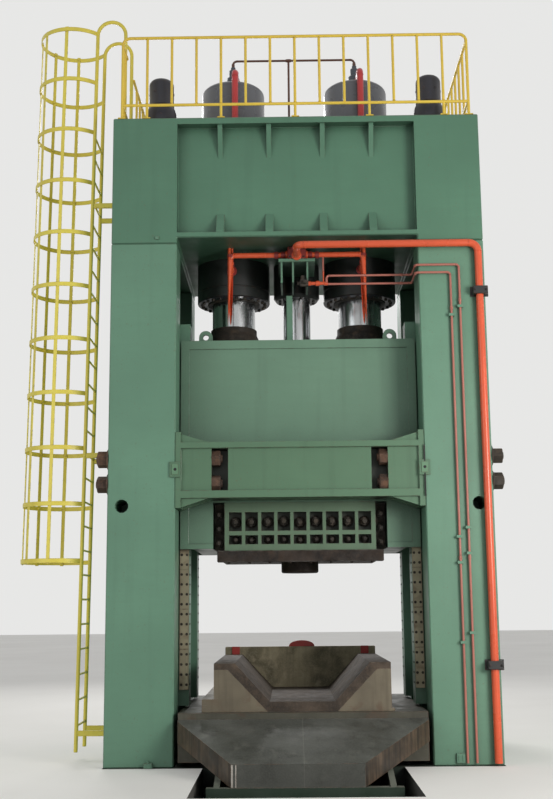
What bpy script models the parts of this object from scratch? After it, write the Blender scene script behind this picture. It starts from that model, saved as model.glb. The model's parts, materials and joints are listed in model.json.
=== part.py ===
"""Four-column hydraulic press with twin main cylinders, a guided slide, a die on its table, a caged ladder and a crown railing.

Metres, +Z up.  The origin is at the middle of the bed's underside, X runs along the press front,
Y runs from the front to the rear, and the slide is drawn at the rest height of its stroke.
"""

import math

import bmesh
import bpy
from mathutils import Matrix, Vector

# Clearances
GAP = 0.0003
RUN = 0.0008
JOIN_OVERLAP = 0.01

# Facets of round pieces
LARGE_STEPS = 20
ROD_STEPS = 12
NUT_STEPS = 12
TUBE_SIDES = 8
BAR_SIDES = 6

# Limits that keep swept forms well formed
NEAR_VERTICAL = 0.9
MITRE_LIMIT = 0.5

# Frame: bed, two uprights and crown, drawn together by four tie rods
FRAME_WIDTH = 4.26
FRAME_DEPTH = 2.60
BED_HEIGHT = 1.10
UPRIGHT_HEIGHT = 5.79
UPRIGHT_WIDTH = 0.75
CROWN_HEIGHT = 1.53
CROWN_ARCH = 0.07
PILLAR_DEPTH = 0.48
UPRIGHT_WEB = 0.51
FRAME_CHAMFER = 0.012

BED_WINDOW_HALF = 1.07
BED_WINDOW_LOW = 0.25
BED_WINDOW_HIGH = 0.82
BED_RIB = 0.12

CROWN_PANEL_DEPTH = 0.14
CROWN_LIP = 0.08
CROWN_FLANGE = 0.06
CROWN_GUSSETS_X = (0.314, 0.884)
CROWN_GUSSET_TOP_WIDTH = 0.055
CROWN_GUSSET_TOP_DROP = 0.38
CROWN_GUSSET_LOW_WIDTH = 0.09
CROWN_GUSSET_LOW_RISE = 0.26

TIE_ROD_RADIUS = 0.10
TIE_ROD_X = 1.60
TIE_ROD_INSET = 0.30
TIE_BASE_RADIUS = 0.18
TIE_BASE_HEIGHT = 0.26
TIE_NUT_RADIUS = 0.133
TIE_NUT_HEIGHT = 0.34
TIE_NUT_DOME = 0.07
TIE_FOOT_RADIUS = 0.15
TIE_FOOT_HEIGHT = 0.25
TIE_FOOT_RECESS = 0.05

LIFT_HOLE_RADIUS = 0.075
LIFT_HOLE_X = 1.97
LIFT_HOLE_HEIGHT = 2.78

# Cross beams between the front pillars and between the rear pillars
BEAM_DEPTH = 0.40
BEAM_BOTTOM = 2.864
BEAM_TOP = 3.485
BEAM_LOW_FLANGE = 0.08
BEAM_TOP_FLANGE = 0.065
BEAM_WEB_INSET = 0.03
BEAM_END_PLATE = 0.06
BEAM_END_BOTTOM = 2.755
BEAM_END_TOP = 3.60
BEAM_GUSSET_LENGTH = 0.30
BEAM_GUSSET_THICK = 0.05
BEAM_WINDOW_INNER = 0.796
BEAM_WINDOW_OUTER = 0.98
BEAM_WINDOW_DEPTH = 0.24
BEAM_WINDOW_SILL = 0.004
BEAM_ROD_RADIUS = 0.04
BEAM_ROD_INSET = 0.11
BEAM_ROD_HEIGHTS = (3.03, 3.31)
BEAM_NUT_RADIUS = 0.078
BEAM_NUT_LENGTH = 0.12
BEAM_ROD_END = 0.02
BEAM_INNER_NUT_LENGTH = 0.09
BEAM_KEY_HEIGHT = 3.18
BEAM_KEY_SIZE = (0.12, 0.17)
BEAM_KEY_THICK = 0.02
BEAM_KEY_HOLE = 0.028

# Guides: a rail block on each upright's web, faced with wear plates
RAIL_INNER_X = 1.27
RAIL_WIDTH_Y = 0.25
RAIL_BOTTOM = 0.59
RAIL_TOP = 4.98
WEAR_PLATE_THICK = 0.04
WEAR_PLATE_WIDTH = 0.105
WEAR_PLATE_HEIGHT = 0.444
WEAR_PLATE_BOTTOM = 0.767
WEAR_PLATE_COUNT = 8
WEAR_GROOVE = 0.012

# Slide
SLIDE_BOTTOM = 2.325
SLIDE_HEIGHT = 2.418
BEAM_SLIDE_GAP = 0.05
SLIDE_WING_DEPTH = 0.11
SLIDE_WING_X = 1.364
SLIDE_BODY_X = 1.22
SLIDE_TOP_BAND = 0.10
SLIDE_FOOT_BAND = 0.056
SLIDE_PANEL_X = 1.27
SLIDE_PANEL_DEPTH = 0.012
SLIDE_POCKET_X = 0.99
SLIDE_POCKET_TOP = 2.849
STROKE_DOWN = 1.0

LUG_X = 1.08
LUG_INSET = 0.07
LUG_HEIGHT = 0.055
LUG_RADIUS = 0.08
LUG_HOLE = 0.035
LUG_THICK = 0.05

HOLDER_HALF = 0.86
HOLDER_BOTTOM = 2.303
HOLDER_FRONT_INSET = 0.02
HOLDER_WINDOWS = 9
HOLDER_PITCH = 0.184
HOLDER_WINDOW_WIDTH = 0.145
HOLDER_WINDOW_DEPTH = 0.14
HOLDER_ROWS = ((2.374, 2.476), (2.525, 2.737))

ADAPTER_HALF = 0.943
ADAPTER_THICK = 0.135
ADAPTER_BOSS_RADIUS = 0.23
ADAPTER_BOSS_HEIGHT = 0.10

# Cylinders
CYLINDER_X = 0.785
CYLINDER_FLANGE_RADIUS = 0.45
CYLINDER_FLANGE_DROP = 0.47
CYLINDER_BODY_RADIUS = 0.42
CYLINDER_BORE = 0.33
CYLINDER_GLAND = 0.19
MAIN_ROD_RADIUS = 0.265
MAIN_ROD_LENGTH = 1.86
PISTON_HEIGHT = 0.25
COLLAR_RADIUS = 0.31
COLLAR_NECK_RADIUS = 0.285
COLLAR_SHOULDER = 0.20
COLLAR_HEIGHT = 0.31

CENTRE_FLANGE_RADIUS = 0.285
CENTRE_FLANGE_DROP = 0.44
CENTRE_BODY_RADIUS = 0.24
CENTRE_ROD_RADIUS = 0.17
CENTRE_ROD_LENGTH = 2.05
CENTRE_FOOT_RADIUS = 0.27
CENTRE_FOOT_HEIGHT = 0.13
CENTRE_CAP_RADIUS = 0.27
CENTRE_CAP_HEIGHT = 0.25

HEAD_RADIUS = 0.40
HEAD_FLANGE_RADIUS = 0.415
HEAD_FLANGE_HEIGHT = 0.10
HEAD_SHOULDER = 0.84
HEAD_HEIGHT = 1.08
HEAD_TOP_RADIUS = 0.16
VALVE_RADIUS = 0.13
VALVE_HEIGHT = 0.17
VALVE_DOME = 0.05

# Pipes on the crown
RISER_SHIFT = 0.042
RISER_RADIUS = 0.04
RISER_OFFSET = 0.46
RISER_ELBOW = 0.09
BALANCE_RADIUS = 0.014
BALANCE_RISE = 0.09
BALANCE_ELBOW = 0.05
BALANCE_DROP_X = -0.067

# Pipework under the crown and down the right upright
MANIFOLD_HALF = 0.108
MANIFOLD_BOTTOM = 5.70
MANIFOLD_HEIGHT = 0.15
MANIFOLD_DEPTH = 0.20
MANIFOLD_SETBACK = 0.36
BRACKET_HALF = 0.215
BRACKET_PLATE = 0.035
BRACKET_CHEEKS_X = (-0.18, -0.046, 0.123)
BRACKET_CHEEK_DROP = 0.27
BRACKET_CHEEK_THICK = 0.022
BRANCH_RADIUS = 0.032
BRANCH_ELBOW = 0.07
MAIN_PIPE_RADIUS = 0.0425
MAIN_PIPE_STANDOFF = 0.06
MAIN_PIPE_X = 2.06
MAIN_PIPE_HEIGHT = 5.74
MAIN_PIPE_START_X = -0.006
MAIN_PIPE_ELBOW = 0.11
PIPE_FOOT = 0.03
CLAMP_HEIGHTS = (1.04, 5.17)
CLAMP_HALF = 0.082
CLAMP_TALL = 0.09
DRAIN_RADIUS = 0.013
DRAIN_STANDOFF = 0.03
DRAIN_XS = (1.835, 1.735)
DRAIN_HEIGHTS = (5.49, 5.40)
DRAIN_SETBACKS = (0.37, 0.41)
DRAIN_TURN_X = 1.345
DRAIN_ELBOW = 0.05
DRAIN_START_X = 0.385
DRAIN_CLIP_HEIGHTS = (1.28, 2.13, 2.41, 4.90)
DRAIN_CLIP_STEP = 0.10
CLIP_HALF = 0.032
CLIP_TALL = 0.03
PILOT_X = 0.31
PILOT_RADIUS = 0.011

# Railing on the crown
TUBE = 0.018
BALUSTER = 0.016
RAILING_INSET = 0.05
RAILING_HALF = 2.035
RAILING_TOP = 1.03
RAILING_LOW = 0.18
RAILING_CORNER = 0.09
RAILING_BAYS = 14
RAILING_SIDE_BAYS = 8
RAILING_FOOT_EVERY = 3
RAILING_FOOT = 0.045
RAILING_FOOT_THICK = 0.012

# Ladder and safety cage on the left upright
STILE_RADIUS = 0.022
STILE_X = -2.42
STILE_INSETS = (0.42, 0.97)
STILE_BOTTOM = 0.12
STILE_PEAK = 8.76
STILE_LANDING_X = -2.06
RUNG_RADIUS = 0.012
RUNG_FIRST = 0.40
RUNG_PITCH = 0.275
RUNG_COUNT = 26
HOOP_COUNT = 11
HOOP_STEPS = 9
HOOP_FIRST = 2.18
HOOP_PITCH = 0.64
HOOP_HALF = 0.36
HOOP_REACH = 0.84
HOOP_TALL = 0.05
HOOP_THICK = 0.008
CAGE_BAR_WIDTH = 0.04
CAGE_BAR_THICK = 0.008
LADDER_BRACKET_HEIGHTS = (0.32, 3.40, 6.40)
LADDER_BRACKET_TALL = 0.06
LADDER_BRACKET_THICK = 0.03

# Table, sloping apron and its cradle
TABLE_TOP = 0.565
TABLE_HALF = 1.33
TABLE_OVERHANG = 0.05
TABLE_LENGTH = 2.50
TABLE_CLEARANCE = 0.06
RUNNER_INNER = 0.55
RUNNER_OUTER = 0.85
APRON_HEEL_TOP = 0.50
APRON_NOSE_TOP = 0.19
APRON_THICK = 0.22
APRON_LENGTH = 1.15
APRON_CHEEK = 0.05
APRON_NOSE_X = (-0.714, 0.581)
CRADLE_HALF = 0.95
CRADLE_BEAM = 0.10
CRADLE_RIBS_X = (-0.85, -0.25, 0.24, 0.85)
CRADLE_RIB = 0.06

# Die
DIE_INSET = 0.05
DIE_LENGTH = 2.33
DIE_HALF = 0.955
DIE_BLOCK_HEIGHT = 0.443
LEFT_STEP = (0.129, 0.135)
RIGHT_STEP = (0.032, 0.03)
LINER_THROAT = 0.807
LINER_FOOT = 0.375
LINER_FLOOR = 0.105
LINER_FLOOR_HALF = 0.35
LINER_MOUTH_HALF = 0.73
LINER_LIP = 0.066
BACK_PLATE_THICK = 0.06
BACK_PLATE_HEIGHT = 0.605
POST_CENTRE_X = 0.82
POST_WIDTH = 0.09
POST_HEIGHT = 0.13

# Post that carries the stroke scale, on the slide
SCALE_POST_X = -0.092
SCALE_POST_SIZE = 0.075
SCALE_POST_OFFSET = 0.50
SCALE_POST_HEIGHT = 0.62

# Places worked out from the sizes above
HALF_WIDTH = FRAME_WIDTH / 2
HALF_DEPTH = FRAME_DEPTH / 2
SLIDE_HALF_DEPTH = HALF_DEPTH - BEAM_DEPTH - BEAM_SLIDE_GAP
GUIDE_PLANE = SLIDE_HALF_DEPTH - SLIDE_WING_DEPTH
OPENING_HALF = HALF_WIDTH - UPRIGHT_WIDTH
FLOOR_Z = BED_HEIGHT
SEAM_Z = FLOOR_Z + UPRIGHT_HEIGHT
CROWN_UNDER_Z = SEAM_Z + CROWN_ARCH
CROWN_TOP_Z = SEAM_Z + CROWN_HEIGHT
WEB_FACE = HALF_WIDTH - UPRIGHT_WEB
TIE_ROD_Y = HALF_DEPTH - TIE_ROD_INSET
BEAM_ROD_Y = HALF_DEPTH - BEAM_ROD_INSET
SLIDE_Z = FLOOR_Z + SLIDE_BOTTOM
SLIDE_TOP_Z = SLIDE_Z + SLIDE_HEIGHT
HEAD_TOP_Z = CROWN_TOP_Z + HEAD_HEIGHT
VALVE_TOP_Z = HEAD_TOP_Z + VALVE_HEIGHT
PIPE_Y = -HALF_DEPTH - MAIN_PIPE_STANDOFF
DRAIN_Y = -HALF_DEPTH - DRAIN_STANDOFF
CENTRE_CAP_Z = CROWN_TOP_Z + CENTRE_CAP_HEIGHT
RAILING_Y = HALF_DEPTH - RAILING_INSET
TABLE_FRONT = -HALF_DEPTH - TABLE_OVERHANG
TABLE_TOP_Z = FLOOR_Z + TABLE_TOP


# Materials


def paint(name, colour, roughness, metallic=0.0):
    look = bpy.data.materials.new(name)
    look.use_nodes = True
    shader = look.node_tree.nodes["Principled BSDF"]
    shader.inputs["Base Color"].default_value = (*colour, 1.0)
    shader.inputs["Roughness"].default_value = roughness
    shader.inputs["Metallic"].default_value = metallic
    return look


GREEN = (0.235, 0.46, 0.34)
DARK_GREEN = (0.11, 0.24, 0.16)
BLACK_STEEL = (0.03, 0.03, 0.035)
GREY_STEEL = (0.33, 0.35, 0.38)
RUST = (0.22, 0.13, 0.08)
WORN_STEEL = (0.42, 0.44, 0.46)
CHROME = (0.82, 0.83, 0.85)
YELLOW = (0.80, 0.62, 0.12)
ORANGE = (0.80, 0.22, 0.10)
RED = (0.62, 0.10, 0.12)
PINK = (0.62, 0.36, 0.32)
BROWN = (0.20, 0.09, 0.06)


# Mesh builders


def add_box(bm, x, y, z):
    """A block between the given pairs of limits."""
    size = Vector((x[1] - x[0], y[1] - y[0], z[1] - z[0]))
    centre = Vector((x[0] + x[1], y[0] + y[1], z[0] + z[1])) / 2
    place = Matrix.Translation(centre) @ Matrix.Diagonal((*size, 1.0))
    bmesh.ops.create_cube(bm, size=1.0, matrix=place)


def add_prism(bm, outline, axis, start, end):
    """Extrudes a flat outline from start to end along axis.

    The outline's two numbers are (x, z) for axis Y, (y, z) for axis X and (x, y) for axis Z.
    """
    spread = {
        "X": lambda u, v: Vector((start, u, v)),
        "Y": lambda u, v: Vector((u, start, v)),
        "Z": lambda u, v: Vector((u, v, start)),
    }[axis]
    travel = {"X": (1, 0, 0), "Y": (0, 1, 0), "Z": (0, 0, 1)}[axis]
    face = bm.faces.new([bm.verts.new(spread(u, v)) for u, v in outline])
    made = bmesh.ops.extrude_face_region(bm, geom=[face])
    moved = [item for item in made["geom"] if isinstance(item, bmesh.types.BMVert)]
    bmesh.ops.translate(bm, verts=moved, vec=Vector(travel) * (end - start))


def add_turned(bm, profile, centre, steps, axis="Z"):
    """Spins a closed profile of (radius, height) points about an axis through centre."""
    turn = {
        "Z": Matrix.Identity(4),
        "X": Matrix.Rotation(math.pi / 2, 4, "Y"),
        "Y": Matrix.Rotation(-math.pi / 2, 4, "X"),
    }[axis]
    place = Matrix.Translation(Vector(centre)) @ turn
    rings = []
    for radius, height in profile:
        if radius == 0.0:
            rings.append([bm.verts.new(place @ Vector((0.0, 0.0, height)))])
            continue
        ring = []
        for step in range(steps):
            angle = 2 * math.pi * (step + 0.5) / steps
            spot = (radius * math.cos(angle), radius * math.sin(angle), height)
            ring.append(bm.verts.new(place @ Vector(spot)))
        rings.append(ring)
    for lower, upper in zip(rings, rings[1:] + rings[:1]):
        for step in range(steps):
            after = (step + 1) % steps
            corners = [lower[step % len(lower)], lower[after % len(lower)]]
            corners += [upper[after % len(upper)], upper[step % len(upper)]]
            distinct = list(dict.fromkeys(corners))
            if len(distinct) > 2:
                bm.faces.new(distinct)


def add_rod(bm, radius, low, high, centre, steps, axis="Z"):
    profile = [(0.0, low), (radius, low), (radius, high), (0.0, high)]
    add_turned(bm, profile, centre, steps, axis)


def add_tube(bm, route, radius, sides=TUBE_SIDES):
    """A closed round bar swept along the route, mitred where the route turns."""
    route = [Vector(point) for point in route]
    ways = [(after - before).normalized() for before, after in zip(route, route[1:])]
    upright = Vector((0, 0, 1)) if abs(ways[0].z) < NEAR_VERTICAL else Vector((0, 1, 0))
    across = ways[0].cross(upright).normalized()
    rings = []
    for number, point in enumerate(route):
        enter = ways[max(number - 1, 0)]
        leave = ways[min(number, len(ways) - 1)]
        plane = (enter + leave).normalized()
        across = (across - enter * across.dot(enter)).normalized()
        rise = enter.cross(across)
        ring = []
        for step in range(sides):
            angle = 2 * math.pi * (step + 0.5) / sides
            spoke = (across * math.cos(angle) + rise * math.sin(angle)) * radius
            spoke -= enter * (spoke.dot(plane) / enter.dot(plane))
            ring.append(bm.verts.new(point + spoke))
        rings.append(ring)
        across = across - leave * across.dot(leave)
    for lower, upper in zip(rings, rings[1:]):
        for step in range(sides):
            after = (step + 1) % sides
            bm.faces.new((lower[step], lower[after], upper[after], upper[step]))
    bm.faces.new(rings[0][::-1])
    bm.faces.new(rings[-1])


def shade(mesh, angle=35.0):
    mesh.shade_smooth()
    mesh.set_sharp_from_angle(angle=math.radians(angle))


def finish(name, bm, look, origin=(0.0, 0.0, 0.0)):
    """Turns a bmesh in world coordinates into a named object whose origin is at origin."""
    bmesh.ops.recalc_face_normals(bm, faces=bm.faces)
    bmesh.ops.translate(bm, verts=bm.verts, vec=-Vector(origin))
    mesh = bpy.data.meshes.new(name)
    bm.to_mesh(mesh)
    bm.free()
    shade(mesh)
    mesh.materials.append(look)
    made = bpy.data.objects.new(name, mesh)
    made.location = origin
    bpy.context.collection.objects.link(made)
    return made


def chamfer(target, width):
    trim = target.modifiers.new("edge chamfer", "BEVEL")
    trim.width = width
    trim.segments = 1
    trim.limit_method = "ANGLE"
    trim.angle_limit = math.radians(40)


def combine(target, bm, operation, name):
    """Cuts or joins target with the closed solids in bm, kept as a hidden wire helper."""
    tool = finish(name, bm, target.data.materials[0])
    tool.hide_render = True
    tool.display_type = "WIRE"
    joint = target.modifiers.new(name, "BOOLEAN")
    joint.operation = operation
    joint.solver = "EXACT"
    joint.object = tool


def cut(target, bm, name):
    combine(target, bm, "DIFFERENCE", name)


def join(target, bm, name):
    combine(target, bm, "UNION", name)


def rounded_route(corners, radius, steps=3):
    """Corner points of a pipe run with each inner corner replaced by an arc."""
    points = [Vector(corners[0])]
    for before, corner, after in zip(corners, corners[1:], corners[2:]):
        corner = Vector(corner)
        enter = (Vector(before) - corner).normalized()
        leave = (Vector(after) - corner).normalized()
        half = enter.angle(leave) / 2
        reach = radius / math.tan(half)
        centre = corner + (enter + leave).normalized() * radius / math.sin(half)
        start = corner + enter * reach - centre
        end = corner + leave * reach - centre
        sweep = start.angle(end)
        for step in range(steps + 1):
            part = step / steps
            first = math.sin((1 - part) * sweep) / math.sin(sweep)
            second = math.sin(part * sweep) / math.sin(sweep)
            points.append(centre + start * first + end * second)
    points.append(Vector(corners[-1]))
    return points


def pipe(name, corners, elbow, radius, look, steps=3):
    """A closed pipe run through the corners, with a swept elbow at each inner one."""
    bm = bmesh.new()
    add_tube(bm, rounded_route(corners, elbow, steps), radius)
    return finish(name, bm, look)


# Frame


def tie_rod_places():
    return [(x, y) for x in (-TIE_ROD_X, TIE_ROD_X) for y in (-TIE_ROD_Y, TIE_ROD_Y)]


def make_bed(look):
    bm = bmesh.new()
    add_box(bm, (-HALF_WIDTH, HALF_WIDTH), (-HALF_DEPTH, HALF_DEPTH), (0.0, FLOOR_Z))
    bed = finish("bed", bm, look)
    chamfer(bed, FRAME_CHAMFER)
    cells = bmesh.new()
    cell = (2 * BED_WINDOW_HALF - 2 * BED_RIB) / 3
    for number in range(3):
        left = -BED_WINDOW_HALF + number * (cell + BED_RIB)
        reach = HALF_DEPTH + 0.1
        add_box(cells, (left, left + cell), (-reach, reach), (BED_WINDOW_LOW, BED_WINDOW_HIGH))
    cut(bed, cells, "bed cells")
    bores = bmesh.new()
    for x, y in tie_rod_places():
        recess = TIE_FOOT_RECESS + TIE_FOOT_HEIGHT + GAP
        profile = [(0.0, -0.1), (TIE_FOOT_RADIUS + 0.03, -0.1), (TIE_FOOT_RADIUS + 0.03, recess)]
        profile += [(TIE_ROD_RADIUS + GAP, recess), (TIE_ROD_RADIUS + GAP, FLOOR_Z + 0.1)]
        profile += [(0.0, FLOOR_Z + 0.1)]
        add_turned(bores, profile, (x, y, 0.0), ROD_STEPS)
    cut(bed, bores, "bed tie rod bores")


def add_rod_end(bm, root, face, way, centre):
    """Round nut of a beam tie rod from root to face along X, with the rod's end standing out of it."""
    tip = face + way * BEAM_ROD_END
    profile = [(0.0, root), (BEAM_NUT_RADIUS, root), (BEAM_NUT_RADIUS, face)]
    profile += [(BEAM_ROD_RADIUS, face), (BEAM_ROD_RADIUS, tip), (0.0, tip)]
    add_turned(bm, profile, centre, NUT_STEPS, "X")


def make_upright(name, side, look):
    inner = OPENING_HALF
    step = HALF_DEPTH - PILLAR_DEPTH
    outline = [(inner, -HALF_DEPTH), (HALF_WIDTH, -HALF_DEPTH), (HALF_WIDTH, HALF_DEPTH)]
    outline += [(inner, HALF_DEPTH), (inner, step), (WEB_FACE, step)]
    outline += [(WEB_FACE, -step), (inner, -step)]
    bm = bmesh.new()
    add_prism(bm, [(side * x, y) for x, y in outline], "Z", FLOOR_Z + GAP, SEAM_Z - GAP)
    upright = finish(name, bm, look)
    chamfer(upright, FRAME_CHAMFER)
    rails = bmesh.new()
    seat = JOIN_OVERLAP
    for end in (-1, 1):
        face = GUIDE_PLANE - WEAR_PLATE_THICK - GAP
        lane = sorted((end * face, end * (face - RAIL_WIDTH_Y)))
        wide = sorted((side * RAIL_INNER_X, side * (WEB_FACE + seat)))
        add_box(rails, wide, lane, (FLOOR_Z + RAIL_BOTTOM, FLOOR_Z + RAIL_TOP))
    for y in (-BEAM_ROD_Y, BEAM_ROD_Y):
        for height in BEAM_ROD_HEIGHTS:
            place = (0.0, y, FLOOR_Z + height)
            face = side * (HALF_WIDTH + BEAM_NUT_LENGTH)
            add_rod_end(rails, side * (HALF_WIDTH - seat), face, side, place)
    join(upright, rails, name + " guide rails and beam nuts")
    bores = bmesh.new()
    for y in (-TIE_ROD_Y, TIE_ROD_Y):
        place = (side * TIE_ROD_X, y, 0.0)
        add_rod(bores, TIE_ROD_RADIUS + GAP, FLOOR_Z - 0.1, SEAM_Z + 0.1, place, ROD_STEPS)
    cut(upright, bores, name + " tie rod bores")
    holes = bmesh.new()
    for y in (-HALF_DEPTH + PILLAR_DEPTH / 2, HALF_DEPTH - PILLAR_DEPTH / 2):
        place = (side * LIFT_HOLE_X, y, FLOOR_Z + LIFT_HOLE_HEIGHT)
        reach = PILLAR_DEPTH / 2 + 0.02
        add_rod(holes, LIFT_HOLE_RADIUS, -reach, reach, place, ROD_STEPS, "Y")
    cut(upright, holes, name + " cross holes")
    return upright


def make_crown(look):
    outline = [(-HALF_WIDTH, SEAM_Z), (-OPENING_HALF, SEAM_Z), (-OPENING_HALF, CROWN_UNDER_Z)]
    outline += [(OPENING_HALF, CROWN_UNDER_Z), (OPENING_HALF, SEAM_Z), (HALF_WIDTH, SEAM_Z)]
    outline += [(HALF_WIDTH, CROWN_TOP_Z), (-HALF_WIDTH, CROWN_TOP_Z)]
    bm = bmesh.new()
    add_prism(bm, outline, "Y", -HALF_DEPTH, HALF_DEPTH)
    crown = finish("crown", bm, look)
    chamfer(crown, FRAME_CHAMFER)
    low = CROWN_UNDER_Z + CROWN_FLANGE
    high = CROWN_TOP_Z - CROWN_LIP
    web = HALF_DEPTH - CROWN_PANEL_DEPTH
    panels = bmesh.new()
    for side in (-1, 1):
        reach = sorted((side * web, side * (HALF_DEPTH + 0.1)))
        add_box(panels, (-OPENING_HALF, OPENING_HALF), reach, (low, high))
    cut(crown, panels, "crown panels")
    gussets = bmesh.new()
    seat = JOIN_OVERLAP
    face = HALF_DEPTH - 0.02
    for side in (-1, 1):
        for x in [sign * place for place in CROWN_GUSSETS_X for sign in (-1, 1)]:
            drop = high - CROWN_GUSSET_TOP_DROP
            shape = [(web - seat, high + seat), (face, high + seat), (face, high - 0.03)]
            shape += [(web, drop), (web - seat, drop)]
            half = CROWN_GUSSET_TOP_WIDTH / 2
            add_prism(gussets, [(side * y, z) for y, z in shape], "X", x - half, x + half)
            rise = low + CROWN_GUSSET_LOW_RISE
            shape = [(web - seat, low - seat), (face, low - seat), (face, low + 0.03)]
            shape += [(web, rise), (web - seat, rise)]
            half = CROWN_GUSSET_LOW_WIDTH / 2
            add_prism(gussets, [(side * y, z) for y, z in shape], "X", x - half, x + half)
    join(crown, gussets, "crown gussets")
    bores = bmesh.new()
    over = CROWN_TOP_Z + 0.1
    under = SEAM_Z - 0.1
    for x, y in tie_rod_places():
        add_rod(bores, TIE_ROD_RADIUS + GAP, under, over, (x, y, 0.0), ROD_STEPS)
    for x in (-CYLINDER_X, CYLINDER_X):
        add_rod(bores, CYLINDER_BODY_RADIUS + GAP, under, over, (x, 0.0, 0.0), LARGE_STEPS)
    add_rod(bores, CENTRE_BODY_RADIUS + GAP, under, over, (0.0, 0.0, 0.0), LARGE_STEPS)
    cut(crown, bores, "crown bores")


def make_tie_rods(look):
    """Each rod is one turned body with its foot nut, its base ring and its domed nut."""
    foot_top = TIE_FOOT_RECESS + TIE_FOOT_HEIGHT
    base_low = CROWN_TOP_Z + GAP
    base_top = base_low + TIE_BASE_HEIGHT
    top = base_top + TIE_NUT_HEIGHT
    shoulder = top - TIE_NUT_DOME
    profile = [(0.0, TIE_FOOT_RECESS), (TIE_FOOT_RADIUS, TIE_FOOT_RECESS)]
    profile += [(TIE_FOOT_RADIUS, foot_top), (TIE_ROD_RADIUS, foot_top)]
    profile += [(TIE_ROD_RADIUS, base_low), (TIE_BASE_RADIUS, base_low)]
    profile += [(TIE_BASE_RADIUS, base_top - 0.10), (TIE_BASE_RADIUS - 0.04, base_top)]
    profile += [(TIE_NUT_RADIUS, base_top), (TIE_NUT_RADIUS, shoulder)]
    profile += [(TIE_NUT_RADIUS * 0.86, shoulder + TIE_NUT_DOME * 0.6)]
    profile += [(TIE_NUT_RADIUS * 0.55, top), (0.0, top)]
    for x, y in tie_rod_places():
        bm = bmesh.new()
        add_turned(bm, profile, (x, y, 0.0), ROD_STEPS)
        name = ("front" if y < 0 else "rear") + ("_left" if x < 0 else "_right")
        finish("tie_rod_" + name, bm, look)


def make_beam(name, side, look):
    """Welded box beam with end plates, gussets and a nut window at each end."""
    front = side * HALF_DEPTH
    back = side * (HALF_DEPTH - BEAM_DEPTH)
    web = side * (HALF_DEPTH - BEAM_WEB_INSET)
    web_back = side * (HALF_DEPTH - BEAM_DEPTH + BEAM_WEB_INSET)
    low = FLOOR_Z + BEAM_BOTTOM
    high = FLOOR_Z + BEAM_TOP
    outline = [(front, low), (back, low), (back, low + BEAM_LOW_FLANGE)]
    outline += [(web_back, low + BEAM_LOW_FLANGE), (web_back, high - BEAM_TOP_FLANGE)]
    outline += [(back, high - BEAM_TOP_FLANGE), (back, high), (front, high)]
    outline += [(front, high - BEAM_TOP_FLANGE), (web, high - BEAM_TOP_FLANGE)]
    outline += [(web, low + BEAM_LOW_FLANGE), (front, low + BEAM_LOW_FLANGE)]
    end = OPENING_HALF - GAP
    plate = end - BEAM_END_PLATE
    bm = bmesh.new()
    add_prism(bm, outline, "X", -plate - 0.01, plate + 0.01)
    beam = finish(name, bm, look)
    ends = bmesh.new()
    depth = sorted((front, back))
    tall = (FLOOR_Z + BEAM_END_BOTTOM, FLOOR_Z + BEAM_END_TOP)
    for sign in (-1, 1):
        add_box(ends, sorted((sign * plate, sign * end)), depth, tall)
    join(beam, ends, name + " end plates")
    ribs = bmesh.new()
    seat = JOIN_OVERLAP
    for sign in (-1, 1):
        for y in (web, web_back + side * BEAM_GUSSET_THICK):
            lane = sorted((y, y - side * BEAM_GUSSET_THICK))
            toe = sign * (plate - BEAM_GUSSET_LENGTH)
            heel = sign * (plate + seat)
            top = [(toe, high - seat), (toe, high + 0.004), (sign * plate, tall[1] - 0.02)]
            top += [(heel, tall[1] - 0.02), (heel, high - seat)]
            add_prism(ribs, top, "Y", *lane)
            foot = [(toe, low + seat), (toe, low - 0.004), (sign * plate, tall[0] + 0.005)]
            foot += [(heel, tall[0] + 0.005), (heel, low + seat)]
            add_prism(ribs, foot, "Y", *lane)
    join(beam, ribs, name + " gussets")
    windows = bmesh.new()
    mouth = sorted((side * (HALF_DEPTH + 0.05), side * (HALF_DEPTH - BEAM_WINDOW_DEPTH)))
    for sign in (-1, 1):
        wide = sorted((sign * BEAM_WINDOW_INNER, sign * BEAM_WINDOW_OUTER))
        sill = low + BEAM_LOW_FLANGE + BEAM_WINDOW_SILL
        add_box(windows, wide, mouth, (sill, high - BEAM_TOP_FLANGE - BEAM_WINDOW_SILL))
    cut(beam, windows, name + " windows")
    nuts = bmesh.new()
    tips = bmesh.new()
    for sign in (-1, 1):
        for height in BEAM_ROD_HEIGHTS:
            place = (0.0, side * BEAM_ROD_Y, FLOOR_Z + height)
            inner = BEAM_WINDOW_OUTER - BEAM_INNER_NUT_LENGTH
            add_rod_end(nuts, sign * (BEAM_WINDOW_OUTER + seat), sign * inner, -sign, place)
    wide, tall = BEAM_KEY_SIZE
    middle = FLOOR_Z + BEAM_KEY_HEIGHT
    proud = side * (HALF_DEPTH + GAP)
    for sign in (-1, 1):
        x = sign * OPENING_HALF
        run = sorted((proud, proud + side * BEAM_KEY_THICK))
        add_box(nuts, (x - wide / 2, x + wide / 2), run, (middle - tall / 2, middle + tall / 2))
        root = sorted((sign * (plate + 0.01), sign * (plate + 0.025)))
        run = sorted((proud + side * 0.01, front - side * 0.02))
        add_box(tips, root, run, (middle - tall / 3, middle + tall / 3))
    join(beam, nuts, name + " nuts and keys")
    join(beam, tips, name + " key roots")
    holes = bmesh.new()
    run = sorted((proud + side * 0.002, proud + side * (BEAM_KEY_THICK + 0.02)))
    for sign in (-1, 1):
        add_rod(holes, BEAM_KEY_HOLE, *run, (sign * OPENING_HALF, 0.0, middle), NUT_STEPS, "Y")
    cut(beam, holes, name + " key holes")


# Guides


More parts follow.
